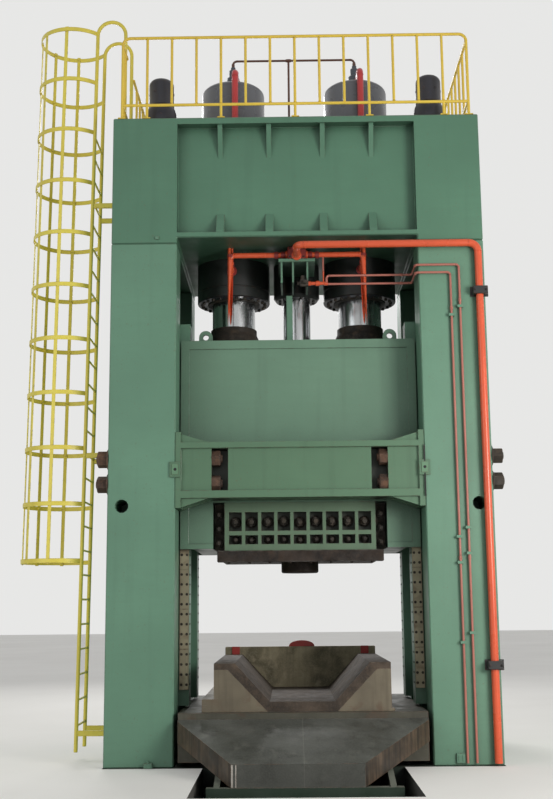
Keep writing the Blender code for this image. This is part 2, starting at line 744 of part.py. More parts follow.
def make_wear_strips(look):
    """Wear plates stacked on each guide rail, parted by shallow grooves."""
    for name, sign in (("left", -1), ("right", 1)):
        for end, side in (("front", -1), ("rear", 1)):
            bm = bmesh.new()
            lane = sorted((side * GUIDE_PLANE, side * (GUIDE_PLANE - WEAR_PLATE_THICK)))
            wide = sorted((sign * (RAIL_INNER_X + 0.003), sign * (RAIL_INNER_X + WEAR_PLATE_WIDTH)))
            low = FLOOR_Z + WEAR_PLATE_BOTTOM
            high = low + WEAR_PLATE_COUNT * WEAR_PLATE_HEIGHT
            add_box(bm, wide, lane, (low, high))
            strip = finish("wear_plates_" + end + "_" + name, bm, look)
            grooves = bmesh.new()
            lane = sorted((side * (GUIDE_PLANE + 0.02), side * (GUIDE_PLANE - WEAR_GROOVE)))
            wide = (wide[0] - 0.02, wide[1] + 0.02)
            for number in range(1, WEAR_PLATE_COUNT):
                level = low + number * WEAR_PLATE_HEIGHT
                add_box(grooves, wide, lane, (level - 0.003, level + 0.003))
            cut(strip, grooves, "plate joints")


# Slide


def make_slide(look):
    """H-shaped plan: wide front and rear wings that bear on the guides, and a body between the rails."""
    wing = SLIDE_HALF_DEPTH
    bearing = GUIDE_PLANE + RUN
    outline = [(-SLIDE_WING_X, -wing), (SLIDE_WING_X, -wing), (SLIDE_WING_X, -bearing)]
    outline += [(SLIDE_BODY_X, -bearing), (SLIDE_BODY_X, bearing), (SLIDE_WING_X, bearing)]
    outline += [(SLIDE_WING_X, wing), (-SLIDE_WING_X, wing), (-SLIDE_WING_X, bearing)]
    outline += [(-SLIDE_BODY_X, bearing), (-SLIDE_BODY_X, -bearing), (-SLIDE_WING_X, -bearing)]
    bm = bmesh.new()
    add_prism(bm, outline, "Z", SLIDE_Z, SLIDE_TOP_Z)
    slide = finish("slide", bm, look, (0.0, 0.0, SLIDE_Z))
    lugs = bmesh.new()
    eyes = bmesh.new()
    front = -SLIDE_HALF_DEPTH + LUG_INSET
    middle = SLIDE_TOP_Z + LUG_HEIGHT
    for sign in (-1, 1):
        arc = [math.pi * step / 10 for step in range(11)]
        shape = [(LUG_RADIUS * math.cos(turn), LUG_RADIUS * math.sin(turn)) for turn in arc]
        shape = [(sign * LUG_X + x, middle + z) for x, z in shape]
        root = SLIDE_TOP_Z - 0.01
        shape += [(sign * LUG_X - LUG_RADIUS, root), (sign * LUG_X + LUG_RADIUS, root)]
        add_prism(lugs, shape, "Y", front, front + LUG_THICK)
        place = (sign * LUG_X, front, middle)
        add_rod(eyes, LUG_HOLE, -0.05, LUG_THICK + 0.05, place, NUT_STEPS, "Y")
    join(slide, lugs, "lifting lugs")
    cut(slide, eyes, "lug eyes")
    panels = bmesh.new()
    band = (SLIDE_Z + SLIDE_FOOT_BAND, SLIDE_TOP_Z - SLIDE_TOP_BAND)
    for side in (-1, 1):
        depth = sorted((side * (wing - SLIDE_PANEL_DEPTH), side * (wing + 0.05)))
        add_box(panels, (-SLIDE_PANEL_X, SLIDE_PANEL_X), depth, band)
    cut(slide, panels, "slide panels")
    pocket = bmesh.new()
    low = SLIDE_Z - 0.1
    reach = (-wing - 0.1, wing + 0.1)
    tall = (low, FLOOR_Z + SLIDE_POCKET_TOP)
    add_box(pocket, (-SLIDE_POCKET_X, SLIDE_POCKET_X), reach, tall)
    cut(slide, pocket, "tool pocket")
    return slide


def make_tool_holder(look):
    """Block in the slide's pocket with two rows of bolt windows on its front and rear."""
    reach = SLIDE_HALF_DEPTH - HOLDER_FRONT_INSET
    bm = bmesh.new()
    tall = (FLOOR_Z + HOLDER_BOTTOM, FLOOR_Z + SLIDE_POCKET_TOP - GAP)
    add_box(bm, (-HOLDER_HALF, HOLDER_HALF), (-reach, reach), tall)
    holder = finish("tool_holder", bm, look)
    windows = bmesh.new()
    for side in (-1, 1):
        depth = sorted((side * (reach + 0.05), side * (reach - HOLDER_WINDOW_DEPTH)))
        for low, high in HOLDER_ROWS:
            for number in range(HOLDER_WINDOWS):
                x = (number - (HOLDER_WINDOWS - 1) / 2) * HOLDER_PITCH
                wide = (x - HOLDER_WINDOW_WIDTH / 2, x + HOLDER_WINDOW_WIDTH / 2)
                add_box(windows, wide, depth, (FLOOR_Z + low, FLOOR_Z + high))
    cut(holder, windows, "holder windows")
    return holder


def make_adapter(look):
    """Plate bolted under the tool holder, with a round boss at its middle."""
    top = FLOOR_Z + HOLDER_BOTTOM - GAP
    low = top - ADAPTER_THICK
    bm = bmesh.new()
    reach = SLIDE_HALF_DEPTH
    add_box(bm, (-ADAPTER_HALF, ADAPTER_HALF), (-reach, reach), (low, top))
    plate = finish("adapter_plate", bm, look)
    boss = bmesh.new()
    foot = low - ADAPTER_BOSS_HEIGHT
    add_rod(boss, ADAPTER_BOSS_RADIUS, foot, low + JOIN_OVERLAP, (0.0, 0.0, 0.0), LARGE_STEPS)
    join(plate, boss, "boss")
    return plate


# Cylinders


def make_cylinders(body_look, head_look, valve_look):
    under = CROWN_UNDER_Z - CYLINDER_FLANGE_DROP
    gland = under + CYLINDER_GLAND
    bore = MAIN_ROD_RADIUS + RUN
    seat = CROWN_UNDER_Z - GAP
    body = [(bore, under), (CYLINDER_FLANGE_RADIUS - 0.01, under)]
    body += [(CYLINDER_FLANGE_RADIUS, under + 0.01), (CYLINDER_FLANGE_RADIUS, seat)]
    body += [(CYLINDER_BODY_RADIUS, seat), (CYLINDER_BODY_RADIUS, CROWN_TOP_Z)]
    body += [(CYLINDER_BORE, CROWN_TOP_Z), (CYLINDER_BORE, gland), (bore, gland)]
    low = CROWN_TOP_Z + GAP
    shoulder = CROWN_TOP_Z + HEAD_SHOULDER
    head = [(0.0, low), (HEAD_FLANGE_RADIUS, low), (HEAD_FLANGE_RADIUS, low + HEAD_FLANGE_HEIGHT)]
    head += [(HEAD_RADIUS, low + HEAD_FLANGE_HEIGHT)]
    for step in range(5):
        angle = math.pi / 2 * step / 5
        radius = HEAD_TOP_RADIUS + (HEAD_RADIUS - HEAD_TOP_RADIUS) * math.cos(angle)
        head.append((radius, shoulder + (HEAD_TOP_Z - shoulder) * math.sin(angle)))
    head += [(HEAD_TOP_RADIUS, HEAD_TOP_Z), (0.0, HEAD_TOP_Z)]
    low = HEAD_TOP_Z + GAP
    valve = [(0.0, low), (VALVE_RADIUS, low), (VALVE_RADIUS, VALVE_TOP_Z - VALVE_DOME)]
    valve += [(VALVE_RADIUS * 0.8, VALVE_TOP_Z - VALVE_DOME * 0.3)]
    valve += [(VALVE_RADIUS * 0.4, VALVE_TOP_Z), (0.0, VALVE_TOP_Z)]
    for side, x in (("left", -CYLINDER_X), ("right", CYLINDER_X)):
        pieces = (("main_cylinder_", body, LARGE_STEPS, body_look),)
        pieces += (("cylinder_head_", head, LARGE_STEPS, head_look),)
        pieces += (("prefill_valve_", valve, ROD_STEPS, valve_look),)
        for name, profile, steps, look in pieces:
            bm = bmesh.new()
            add_turned(bm, profile, (x, 0.0, 0.0), steps)
            finish(name + side, bm, look)


def make_centre_cylinder(body_look, cap_look):
    bm = bmesh.new()
    under = CROWN_UNDER_Z - CENTRE_FLANGE_DROP
    seat = CROWN_UNDER_Z - GAP
    bore = CENTRE_ROD_RADIUS + RUN
    profile = [(bore, under), (CENTRE_FLANGE_RADIUS - 0.03, under)]
    profile += [(CENTRE_FLANGE_RADIUS, under + 0.04), (CENTRE_FLANGE_RADIUS, seat)]
    profile += [(CENTRE_BODY_RADIUS, seat), (CENTRE_BODY_RADIUS, CROWN_TOP_Z)]
    profile += [(bore, CROWN_TOP_Z)]
    add_turned(bm, profile, (0.0, 0.0, 0.0), LARGE_STEPS)
    finish("centre_cylinder", bm, body_look)
    bm = bmesh.new()
    add_rod(bm, CENTRE_CAP_RADIUS, CROWN_TOP_Z + GAP, CENTRE_CAP_Z, (0.0, 0.0, 0.0), LARGE_STEPS)
    finish("centre_cap", bm, cap_look)


def make_rods(chrome, collar_look, green):
    low = SLIDE_TOP_Z + GAP
    piston = CYLINDER_BORE - RUN
    neck = low + MAIN_ROD_LENGTH
    rod = [(0.0, low), (MAIN_ROD_RADIUS, low), (MAIN_ROD_RADIUS, neck), (piston, neck)]
    rod += [(piston, neck + PISTON_HEIGHT), (0.0, neck + PISTON_HEIGHT)]
    bore = MAIN_ROD_RADIUS + GAP
    collar = [(bore, low), (COLLAR_RADIUS, low), (COLLAR_RADIUS, low + COLLAR_SHOULDER)]
    collar += [(COLLAR_NECK_RADIUS, low + COLLAR_HEIGHT), (bore, low + COLLAR_HEIGHT)]
    made = []
    for side, x in (("left", -CYLINDER_X), ("right", CYLINDER_X)):
        for name, profile, look in (("main_rod_", rod, chrome), ("rod_collar_", collar, collar_look)):
            bm = bmesh.new()
            add_turned(bm, profile, (x, 0.0, 0.0), LARGE_STEPS)
            made.append(finish(name + side, bm, look, (x, 0.0, SLIDE_TOP_Z)))
    bm = bmesh.new()
    add_rod(bm, CENTRE_ROD_RADIUS, low, low + CENTRE_ROD_LENGTH, (0.0, 0.0, 0.0), LARGE_STEPS)
    made.append(finish("centre_rod", bm, chrome, (0.0, 0.0, SLIDE_TOP_Z)))
    bm = bmesh.new()
    bore = CENTRE_ROD_RADIUS + GAP
    foot = [(bore, low), (CENTRE_FOOT_RADIUS, low), (CENTRE_FOOT_RADIUS, low + 0.04)]
    foot += [(bore + 0.03, low + CENTRE_FOOT_HEIGHT), (bore, low + CENTRE_FOOT_HEIGHT)]
    add_turned(bm, foot, (0.0, 0.0, 0.0), LARGE_STEPS)
    made.append(finish("centre_foot", bm, green))
    bm = bmesh.new()
    half = SCALE_POST_SIZE / 2
    wide = (SCALE_POST_X - half, SCALE_POST_X + half)
    deep = (-SCALE_POST_OFFSET - half, -SCALE_POST_OFFSET + half)
    add_box(bm, wide, deep, (low, low + SCALE_POST_HEIGHT))
    made.append(finish("scale_post", bm, green))
    chamfer(made[-1], 0.006)
    return made


# Pipes


def make_crown_pipes(red, brown):
    level = VALVE_TOP_Z - VALVE_DOME - RISER_RADIUS - 0.01
    for side, centre in (("left", -CYLINDER_X), ("right", CYLINDER_X)):
        x = centre + RISER_SHIFT
        foot = (x, -RISER_OFFSET, CROWN_TOP_Z + GAP)
        bend = (x, -RISER_OFFSET, level)
        mouth = (x, -VALVE_RADIUS - GAP, level)
        pipe("riser_pipe_" + side, [foot, bend, mouth], RISER_ELBOW, RISER_RADIUS, red)
    level = VALVE_TOP_Z + BALANCE_RISE
    ends = [(-CYLINDER_X, 0.0, VALVE_TOP_Z + GAP), (-CYLINDER_X, 0.0, level)]
    ends += [(CYLINDER_X, 0.0, level), (CYLINDER_X, 0.0, VALVE_TOP_Z + GAP)]
    balance = pipe("balance_pipe", ends, BALANCE_ELBOW, BALANCE_RADIUS, brown)
    drop = bmesh.new()
    foot = CENTRE_CAP_Z + GAP
    add_tube(drop, [(BALANCE_DROP_X, 0.0, foot), (BALANCE_DROP_X, 0.0, level)], BALANCE_RADIUS)
    join(balance, drop, "balance drop")


def make_manifold(red, green):
    low = FLOOR_Z + MANIFOLD_BOTTOM
    front = -HALF_DEPTH + MANIFOLD_SETBACK
    bm = bmesh.new()
    deep = (front, front + MANIFOLD_DEPTH)
    add_box(bm, (-MANIFOLD_HALF, MANIFOLD_HALF), deep, (low, low + MANIFOLD_HEIGHT))
    block = finish("manifold", bm, red)
    chamfer(block, 0.012)
    plate_top = low - GAP
    back = -CENTRE_FLANGE_RADIUS - GAP
    bm = bmesh.new()
    plate = (plate_top - BRACKET_PLATE, plate_top)
    add_box(bm, (-BRACKET_HALF, BRACKET_HALF), (front, back), plate)
    shelf = finish("manifold_bracket", bm, green)
    cheeks = bmesh.new()
    for x in BRACKET_CHEEKS_X:
        half = BRACKET_CHEEK_THICK / 2
        shape = [(front + 0.02, plate_top - 0.01), (back - 0.01, plate_top - 0.01)]
        shape += [(back - 0.01, plate_top - BRACKET_CHEEK_DROP)]
        shape += [(front + 0.08, plate_top - BRACKET_CHEEK_DROP), (front + 0.02, plate_top - 0.10)]
        add_prism(cheeks, shape, "X", x - half, x + half)
    join(shelf, cheeks, "bracket cheeks")


def make_pipes(red, orange, pink, black):
    level = FLOOR_Z + MANIFOLD_BOTTOM + MANIFOLD_HEIGHT / 2
    lane = -HALF_DEPTH + MANIFOLD_SETBACK + MANIFOLD_DEPTH / 2
    for side, sign in (("left", -1), ("right", 1)):
        turn = sign * CYLINDER_X
        start = (sign * (MANIFOLD_HALF + GAP), lane, level)
        mouth = (turn, -CYLINDER_FLANGE_RADIUS - GAP, level)
        corners = [start, (turn, lane, level), mouth]
        pipe("branch_pipe_" + side, corners, BRANCH_ELBOW, BRANCH_RADIUS, red)
    front = -HALF_DEPTH + MANIFOLD_SETBACK - GAP
    head = FLOOR_Z + MAIN_PIPE_HEIGHT
    corners = [(MAIN_PIPE_START_X, front, head), (MAIN_PIPE_START_X, PIPE_Y, head)]
    corners += [(MAIN_PIPE_X, PIPE_Y, head), (MAIN_PIPE_X, PIPE_Y, FLOOR_Z + PIPE_FOOT)]
    pipe("main_pipe", corners, MAIN_PIPE_ELBOW, MAIN_PIPE_RADIUS, orange)
    for side, height in zip(("lower", "upper"), CLAMP_HEIGHTS):
        bm = bmesh.new()
        wide = (MAIN_PIPE_X - CLAMP_HALF, MAIN_PIPE_X + CLAMP_HALF)
        deep = (PIPE_Y - MAIN_PIPE_RADIUS - 0.02, -HALF_DEPTH - GAP)
        middle = FLOOR_Z + height
        add_box(bm, wide, deep, (middle - CLAMP_TALL / 2, middle + CLAMP_TALL / 2))
        block = finish("pipe_clamp_" + side, bm, black)
        chamfer(block, 0.006)
        bore = bmesh.new()
        place = (MAIN_PIPE_X, PIPE_Y, middle)
        add_rod(bore, MAIN_PIPE_RADIUS + 2 * GAP, -CLAMP_TALL, CLAMP_TALL, place, TUBE_SIDES)
        cut(block, bore, "pipe bore")
    drains = zip(("outer", "inner"), DRAIN_XS, DRAIN_HEIGHTS, DRAIN_SETBACKS)
    for name, x, height, setback in drains:
        inner = -HALF_DEPTH + setback
        z = FLOOR_Z + height
        corners = [(DRAIN_START_X + GAP, inner, z), (DRAIN_TURN_X, inner, z)]
        corners += [(DRAIN_TURN_X, DRAIN_Y, z), (x, DRAIN_Y, z), (x, DRAIN_Y, FLOOR_Z + PIPE_FOOT)]
        pipe("drain_pipe_" + name, corners, DRAIN_ELBOW, DRAIN_RADIUS, pink)


def clip_places():
    """Middle of each drain clip: the lines are held in pairs, one clip a little above the other."""
    for height in DRAIN_CLIP_HEIGHTS:
        for number, x in enumerate(reversed(DRAIN_XS)):
            yield x, FLOOR_Z + height + number * DRAIN_CLIP_STEP


def add_clips(upright):
    """Welds the saddle clips of the drain lines to the upright's front."""
    clips = bmesh.new()
    bores = bmesh.new()
    for x, z in clip_places():
        deep = (DRAIN_Y - DRAIN_RADIUS - 0.006, -HALF_DEPTH + 0.01)
        add_box(clips, (x - CLIP_HALF, x + CLIP_HALF), deep, (z - CLIP_TALL / 2, z + CLIP_TALL / 2))
        add_rod(bores, DRAIN_RADIUS + 2 * GAP, -CLIP_TALL, CLIP_TALL, (x, DRAIN_Y, z), TUBE_SIDES)
    join(upright, clips, "drain clips")
    cut(upright, bores, "drain clip bores")


def make_fitting(orange, pink):
    """Distributor that gathers the two drain lines and hangs on the bracket's right cheek."""
    z = FLOOR_Z + sum(DRAIN_HEIGHTS) / 2
    y = -HALF_DEPTH + sum(DRAIN_SETBACKS) / 2
    bm = bmesh.new()
    span = abs(DRAIN_HEIGHTS[0] - DRAIN_HEIGHTS[1]) / 2 + DRAIN_RADIUS + 0.008
    deep = abs(DRAIN_SETBACKS[0] - DRAIN_SETBACKS[1]) / 2 + DRAIN_RADIUS + 0.008
    level = FLOOR_Z + MANIFOLD_BOTTOM + MANIFOLD_HEIGHT / 2
    lane = -HALF_DEPTH + MANIFOLD_SETBACK + MANIFOLD_DEPTH / 2
    start = BRACKET_CHEEKS_X[-1] + BRACKET_CHEEK_THICK / 2 + GAP
    wide = (start, DRAIN_START_X)
    add_box(bm, wide, (y - deep, lane + PILOT_RADIUS + 0.008), (z - span, z + span))
    block = finish("drain_block", bm, orange)
    chamfer(block, 0.006)
    bm = bmesh.new()
    ends = [(PILOT_X, lane, level - BRANCH_RADIUS - GAP), (PILOT_X, lane, z + span + GAP)]
    add_tube(bm, ends, PILOT_RADIUS)
    finish("pilot_pipe", bm, pink)


# Railing


def weld_tubes(name, frame, groups, look):
    """Joins a frame of tubes with groups of bars; the bars of one group don't touch each other."""
    bm = bmesh.new()
    for route, radius in frame:
        add_tube(bm, route, radius)
    made = finish(name, bm, look)
    for number, group in enumerate(groups):
        bars = bmesh.new()
        for route, radius in group:
            add_tube(bars, route, radius, BAR_SIDES)
        join(made, bars, f"{name} bars {number}")
    return made


def add_feet(railing, places, level):
    feet = bmesh.new()
    for x, y in places:
        wide = (x - RAILING_FOOT, x + RAILING_FOOT)
        deep = (y - RAILING_FOOT, y + RAILING_FOOT)
        add_box(feet, wide, deep, (level, level + RAILING_FOOT_THICK))
    join(railing, feet, railing.name + " feet")


def make_railing(yellow):
    top = CROWN_TOP_Z + RAILING_TOP
    low = CROWN_TOP_Z + RAILING_LOW
    foot = CROWN_TOP_Z + GAP
    sole = foot + RAILING_FOOT_THICK / 2
    half = RAILING_HALF
    pitch = 2 * half / RAILING_BAYS
    for name, y in (("railing_front", -RAILING_Y), ("railing_rear", RAILING_Y)):
        corners = [(-half, y, foot), (-half, y, top), (half, y, top), (half, y, foot)]
        frame = [(rounded_route(corners, RAILING_CORNER, 4), TUBE)]
        bars = []
        feet = []
        for number in range(1, RAILING_BAYS):
            x = -half + number * pitch
            stands = number % RAILING_FOOT_EVERY == 1
            bars.append(([(x, y, sole if stands else low), (x, y, top)], BALUSTER))
            if stands:
                feet.append((x, y))
        rail = [([(-half, y, low), (half, y, low)], TUBE * 0.97)]
        made = weld_tubes(name, frame, [bars, rail], yellow)
        add_feet(made, feet, foot)
    rail_top = top - RAILING_CORNER
    reach = TUBE + GAP
    gate = [-HALF_DEPTH + inset for inset in STILE_INSETS]
    clear = STILE_RADIUS + GAP
    spans = [("railing_right", half, -RAILING_Y + reach, RAILING_Y - reach)]
    spans.append(("railing_left", -half, gate[1] + clear, RAILING_Y - reach))
    spans.append(("railing_left_front", -half, -RAILING_Y + reach, gate[0] - clear))
    pitch = 2 * RAILING_Y / RAILING_SIDE_BAYS
    for name, x, start, stop in spans:
        frame = [([(x, start, rail_top), (x, stop, rail_top)], TUBE)]
        bars = []
        feet = []
        count = max(1, round((stop - start) / pitch) - 1)
        for number in range(count):
            y = start + (number + 1) * (stop - start) / (count + 1)
            stands = number % RAILING_FOOT_EVERY == 0
            bars.append(([(x, y, sole if stands else low), (x, y, rail_top)], BALUSTER))
            if stands:
                feet.append((x, y))
        rail = [([(x, start, low), (x, stop, low)], TUBE * 0.97)]
        made = weld_tubes(name, frame, [bars, rail], yellow)
        add_feet(made, feet, foot)


# Ladder


def hoop_path(steps=HOOP_STEPS):
    """Plan of one cage hoop: from one stile out, round the far end and back to the other stile."""
    middle = -HALF_DEPTH + sum(STILE_INSETS) / 2
    spread = (STILE_INSETS[1] - STILE_INSETS[0]) / 2
    start = STILE_X - STILE_RADIUS * math.cos(math.pi / TUBE_SIDES) - GAP
    bend = STILE_X - HOOP_REACH + HOOP_HALF
    points = [(start, middle - spread), (start - 0.10, middle - HOOP_HALF)]
    for step in range(steps + 1):
        angle = math.pi * step / steps
        x = bend - HOOP_HALF * math.sin(angle)
        points.append((x, middle - HOOP_HALF * math.cos(angle)))
    points += [(start - 0.10, middle + HOOP_HALF), (start, middle + spread)]
    return [Vector(point) for point in points]


def inset_path(path, distance):
    """The path moved sideways by distance, towards the inside of the hoop."""
    moved = []
    for number, point in enumerate(path):
        before = path[max(number - 1, 0)]
        after = path[min(number + 1, len(path) - 1)]
        first = (point - before).normalized() if number else (after - point).normalized()
        second = (after - point).normalized() if number < len(path) - 1 else first
        along = (first + second).normalized()
        side = Vector((along.y, -along.x))
        stretch = max(MITRE_LIMIT, side.dot(Vector((first.y, -first.x))))
        moved.append(point + side * distance / stretch)
    return moved


def make_ladder(yellow):
    middle = -HALF_DEPTH + sum(STILE_INSETS) / 2
    arc = (STILE_LANDING_X - STILE_X) / 2
    peak = FLOOR_Z + STILE_PEAK
    stiles = []
    for inset in STILE_INSETS:
        y = -HALF_DEPTH + inset
        route = [Vector((STILE_X, y, FLOOR_Z + STILE_BOTTOM))]
        for step in range(9):
            angle = math.pi * (1 - step / 8)
            x = STILE_X + arc + arc * math.cos(angle)
            route.append(Vector((x, y, peak - arc + arc * math.sin(angle))))
        route.append(Vector((STILE_LANDING_X, y, CROWN_TOP_Z + GAP)))
        stiles.append(route)
    rungs = []
    for number in range(RUNG_COUNT):
        z = FLOOR_Z + RUNG_FIRST + number * RUNG_PITCH
        ends = [(STILE_X, -HALF_DEPTH + inset, z) for inset in STILE_INSETS]
        rungs.append((ends, RUNG_RADIUS))
    ladder = weld_tubes("ladder", [(route, STILE_RADIUS) for route in stiles], [rungs], yellow)
    outer = hoop_path()
    inner = inset_path(outer, HOOP_THICK)
    hoops = bmesh.new()
    for number in range(HOOP_COUNT):
        z = FLOOR_Z + HOOP_FIRST + number * HOOP_PITCH
        add_prism(hoops, outer + inner[::-1], "Z", z, z + HOOP_TALL)
    cage = finish("ladder_cage", hoops, yellow)
    bars = bmesh.new()
    low = FLOOR_Z + HOOP_FIRST - 0.01
    high = low + (HOOP_COUNT - 1) * HOOP_PITCH + HOOP_TALL + 0.02
    bend = STILE_X - HOOP_REACH + HOOP_HALF
    facet = math.pi / HOOP_STEPS
    for number in range(-2, 3):
        angle = 2 * number * facet
        ring = HOOP_HALF * math.cos(facet / 2) - HOOP_THICK - CAGE_BAR_THICK / 4
        centre = Vector((bend - ring * math.cos(angle), middle + ring * math.sin(angle)))
        along = Vector((math.sin(angle), math.cos(angle))) * CAGE_BAR_WIDTH / 2
        across = Vector((math.cos(angle), -math.sin(angle))) * CAGE_BAR_THICK / 2
        shape = [centre - along - across, centre + along - across]
        shape += [centre + along + across, centre - along + across]
        add_prism(bars, shape, "Z", low, high)
    join(cage, bars, "cage bars")
    brackets = bmesh.new()
    for height in LADDER_BRACKET_HEIGHTS:
        for inset in STILE_INSETS:
            y = -HALF_DEPTH + inset
            wide = (STILE_X, -HALF_WIDTH - GAP)
            deep = (y - LADDER_BRACKET_THICK / 2, y + LADDER_BRACKET_THICK / 2)
            z = FLOOR_Z + height
            tall = (z - LADDER_BRACKET_TALL / 2, z + LADDER_BRACKET_TALL / 2)
            add_box(brackets, wide, deep, tall)
    join(ladder, brackets, "wall brackets")


# Table, apron, die


def make_table(look):
    low = FLOOR_Z + TABLE_CLEARANCE
    rest = FLOOR_Z + GAP
    half = [(TABLE_HALF, TABLE_TOP_Z), (TABLE_HALF, low), (RUNNER_OUTER, low)]
    half += [(RUNNER_OUTER, rest), (RUNNER_INNER, rest), (RUNNER_INNER, low)]
    outline = half + [(-x, z) for x, z in reversed(half)]
    bm = bmesh.new()
    add_prism(bm, outline, "Y", TABLE_FRONT, TABLE_FRONT + TABLE_LENGTH)
    finish("table", bm, look)


def apron_top(y):
    """Height of the apron's upper face at a depth y in front of the table."""
    part = (TABLE_FRONT - y) / APRON_LENGTH
    return FLOOR_Z + APRON_HEEL_TOP + (APRON_NOSE_TOP - APRON_HEEL_TOP) * part


def make_apron(look, green):
    heel = TABLE_FRONT - GAP
    cheek = heel - APRON_CHEEK
    nose = heel - APRON_LENGTH
    plan = [(-TABLE_HALF, heel), (-TABLE_HALF, cheek), (APRON_NOSE_X[0], nose)]
    plan += [(APRON_NOSE_X[1], nose), (TABLE_HALF, cheek), (TABLE_HALF, heel)]
    bm = bmesh.new()
    add_prism(bm, plan, "Z", 0.0, -APRON_THICK)
    for vert in bm.verts:
        vert.co.z += apron_top(vert.co.y)
    finish("front_apron", bm, look)
    front = nose - 0.02
    bm = bmesh.new()
    beam_top = apron_top(nose) - APRON_THICK - GAP
    add_box(bm, (-CRADLE_HALF, CRADLE_HALF), (front, front + CRADLE_BEAM), (GAP, beam_top))
    cradle = finish("apron_cradle", bm, green)
    ribs = bmesh.new()
    back = TABLE_FRONT - GAP
    for x in CRADLE_RIBS_X:
        shape = [(front + 0.05, GAP + 0.01), (-HALF_DEPTH - GAP, GAP + 0.01)]
        shape += [(-HALF_DEPTH - GAP, FLOOR_Z - GAP), (back, FLOOR_Z - GAP)]
        shape += [(back, apron_top(back) - APRON_THICK - GAP)]
        toe = front + 0.05
        shape += [(nose, beam_top), (nose, beam_top - 0.05), (toe, beam_top - 0.05)]
        add_prism(ribs, shape, "X", x - CRADLE_RIB / 2, x + CRADLE_RIB / 2)
    join(cradle, ribs, "cradle ribs")


def make_die(block_look, liner_look, plate_look):
    base = TABLE_TOP_Z + GAP
    top = base + DIE_BLOCK_HEIGHT
    front = -HALF_DEPTH + DIE_INSET
    back = front + DIE_LENGTH
    for name, sign, step in (("left", -1, LEFT_STEP), ("right", 1, RIGHT_STEP)):
        wide, tall = step
        shape = [(LINER_FOOT + GAP, base), (DIE_HALF + wide, base), (DIE_HALF + wide, base + tall)]
        shape += [(DIE_HALF, base + tall), (DIE_HALF, top), (LINER_THROAT + GAP, top)]
        bm = bmesh.new()
        add_prism(bm, [(sign * x, z) for x, z in shape], "Y", front, back)
        finish("die_block_" + name, bm, block_look)
    lip = top + GAP
    rim = lip + LINER_LIP
    half = [(LINER_FOOT, base), (LINER_THROAT, top), (LINER_THROAT, lip), (DIE_HALF, lip)]
    half += [(DIE_HALF, rim), (LINER_MOUTH_HALF, rim), (LINER_FLOOR_HALF, base + LINER_FLOOR)]
    bm = bmesh.new()
    add_prism(bm, half + [(-x, z) for x, z in reversed(half)], "Y", front, back)
    finish("die_liner", bm, liner_look)
    bm = bmesh.new()
    plate = (back + GAP, back + GAP + BACK_PLATE_THICK)
    add_box(bm, (-DIE_HALF, DIE_HALF), plate, (base, base + BACK_PLATE_HEIGHT))
    made = finish("die_back_plate", bm, plate_look)
    posts = bmesh.new()
    for sign in (-1, 1):
        x = sign * POST_CENTRE_X
        wide = (x - POST_WIDTH / 2, x + POST_WIDTH / 2)
        deep = (plate[0] - GAP - 0.04, plate[0] + 0.01)
        add_box(posts, wide, deep, (rim + GAP, rim + GAP + POST_HEIGHT))
    join(made, posts, "red posts")


def main():
    for old in list(bpy.data.objects):
        bpy.data.objects.remove(old)
    green = paint("green paint", GREEN, 0.45)
    dark_green = paint("shaded green paint", DARK_GREEN, 0.55)
    black = paint("black oxide steel", BLACK_STEEL, 0.5, 0.6)
    grey = paint("grey painted steel", GREY_STEEL, 0.45, 0.3)
    rust = paint("rusted steel", RUST, 0.85, 0.2)
    worn = paint("worn machined steel", WORN_STEEL, 0.5, 0.7)
    chrome = paint("hard chrome", CHROME, 0.12, 1.0)
    yellow = paint("yellow paint", YELLOW, 0.5)
    orange = paint("orange paint", ORANGE, 0.45)
    red = paint("red paint", RED, 0.45)
    pink = paint("faded red primer", PINK, 0.6)
    brown = paint("brown pipe", BROWN, 0.6)

    make_bed(dark_green)
    make_upright("upright_left", -1, green)
    add_clips(make_upright("upright_right", 1, green))
    make_crown(green)
    make_tie_rods(black)
    make_beam("front_beam", -1, green)
    make_beam("rear_beam", 1, green)
    make_wear_strips(worn)
    make_cylinders(black, grey, grey)
    make_centre_cylinder(black, grey)
    make_crown_pipes(red, brown)
    make_manifold(red, green)
    make_pipes(red, orange, pink, black)
    make_fitting(orange, pink)
    make_railing(yellow)
    make_ladder(yellow)
    make_table(worn)
    make_apron(rust, dark_green)
    make_die(worn, rust, rust)

    carriage = bpy.data.objects.new("slide carriage", None)
    bpy.context.collection.objects.link(carriage)
    carried = [make_slide(green), make_tool_holder(dark_green), make_adapter(rust)]
    carried += make_rods(chrome, black, green)
    for piece in carried:
        piece.parent = carriage


main()
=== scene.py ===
"""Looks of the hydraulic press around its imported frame: finishes, fasteners, welds, pipes, light and camera.

Metres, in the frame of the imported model: X along the front, Y from the front to the rear, Z up.
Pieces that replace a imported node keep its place, with round forms where it has facets.  Most keep its size
too: the heads, risers, adapter and back plate are less tall, the branch pipes reach lower, and the ladder
and its cage lean.
"""

import json
import math
import random

import bmesh
import bpy
from mathutils import Matrix, Vector


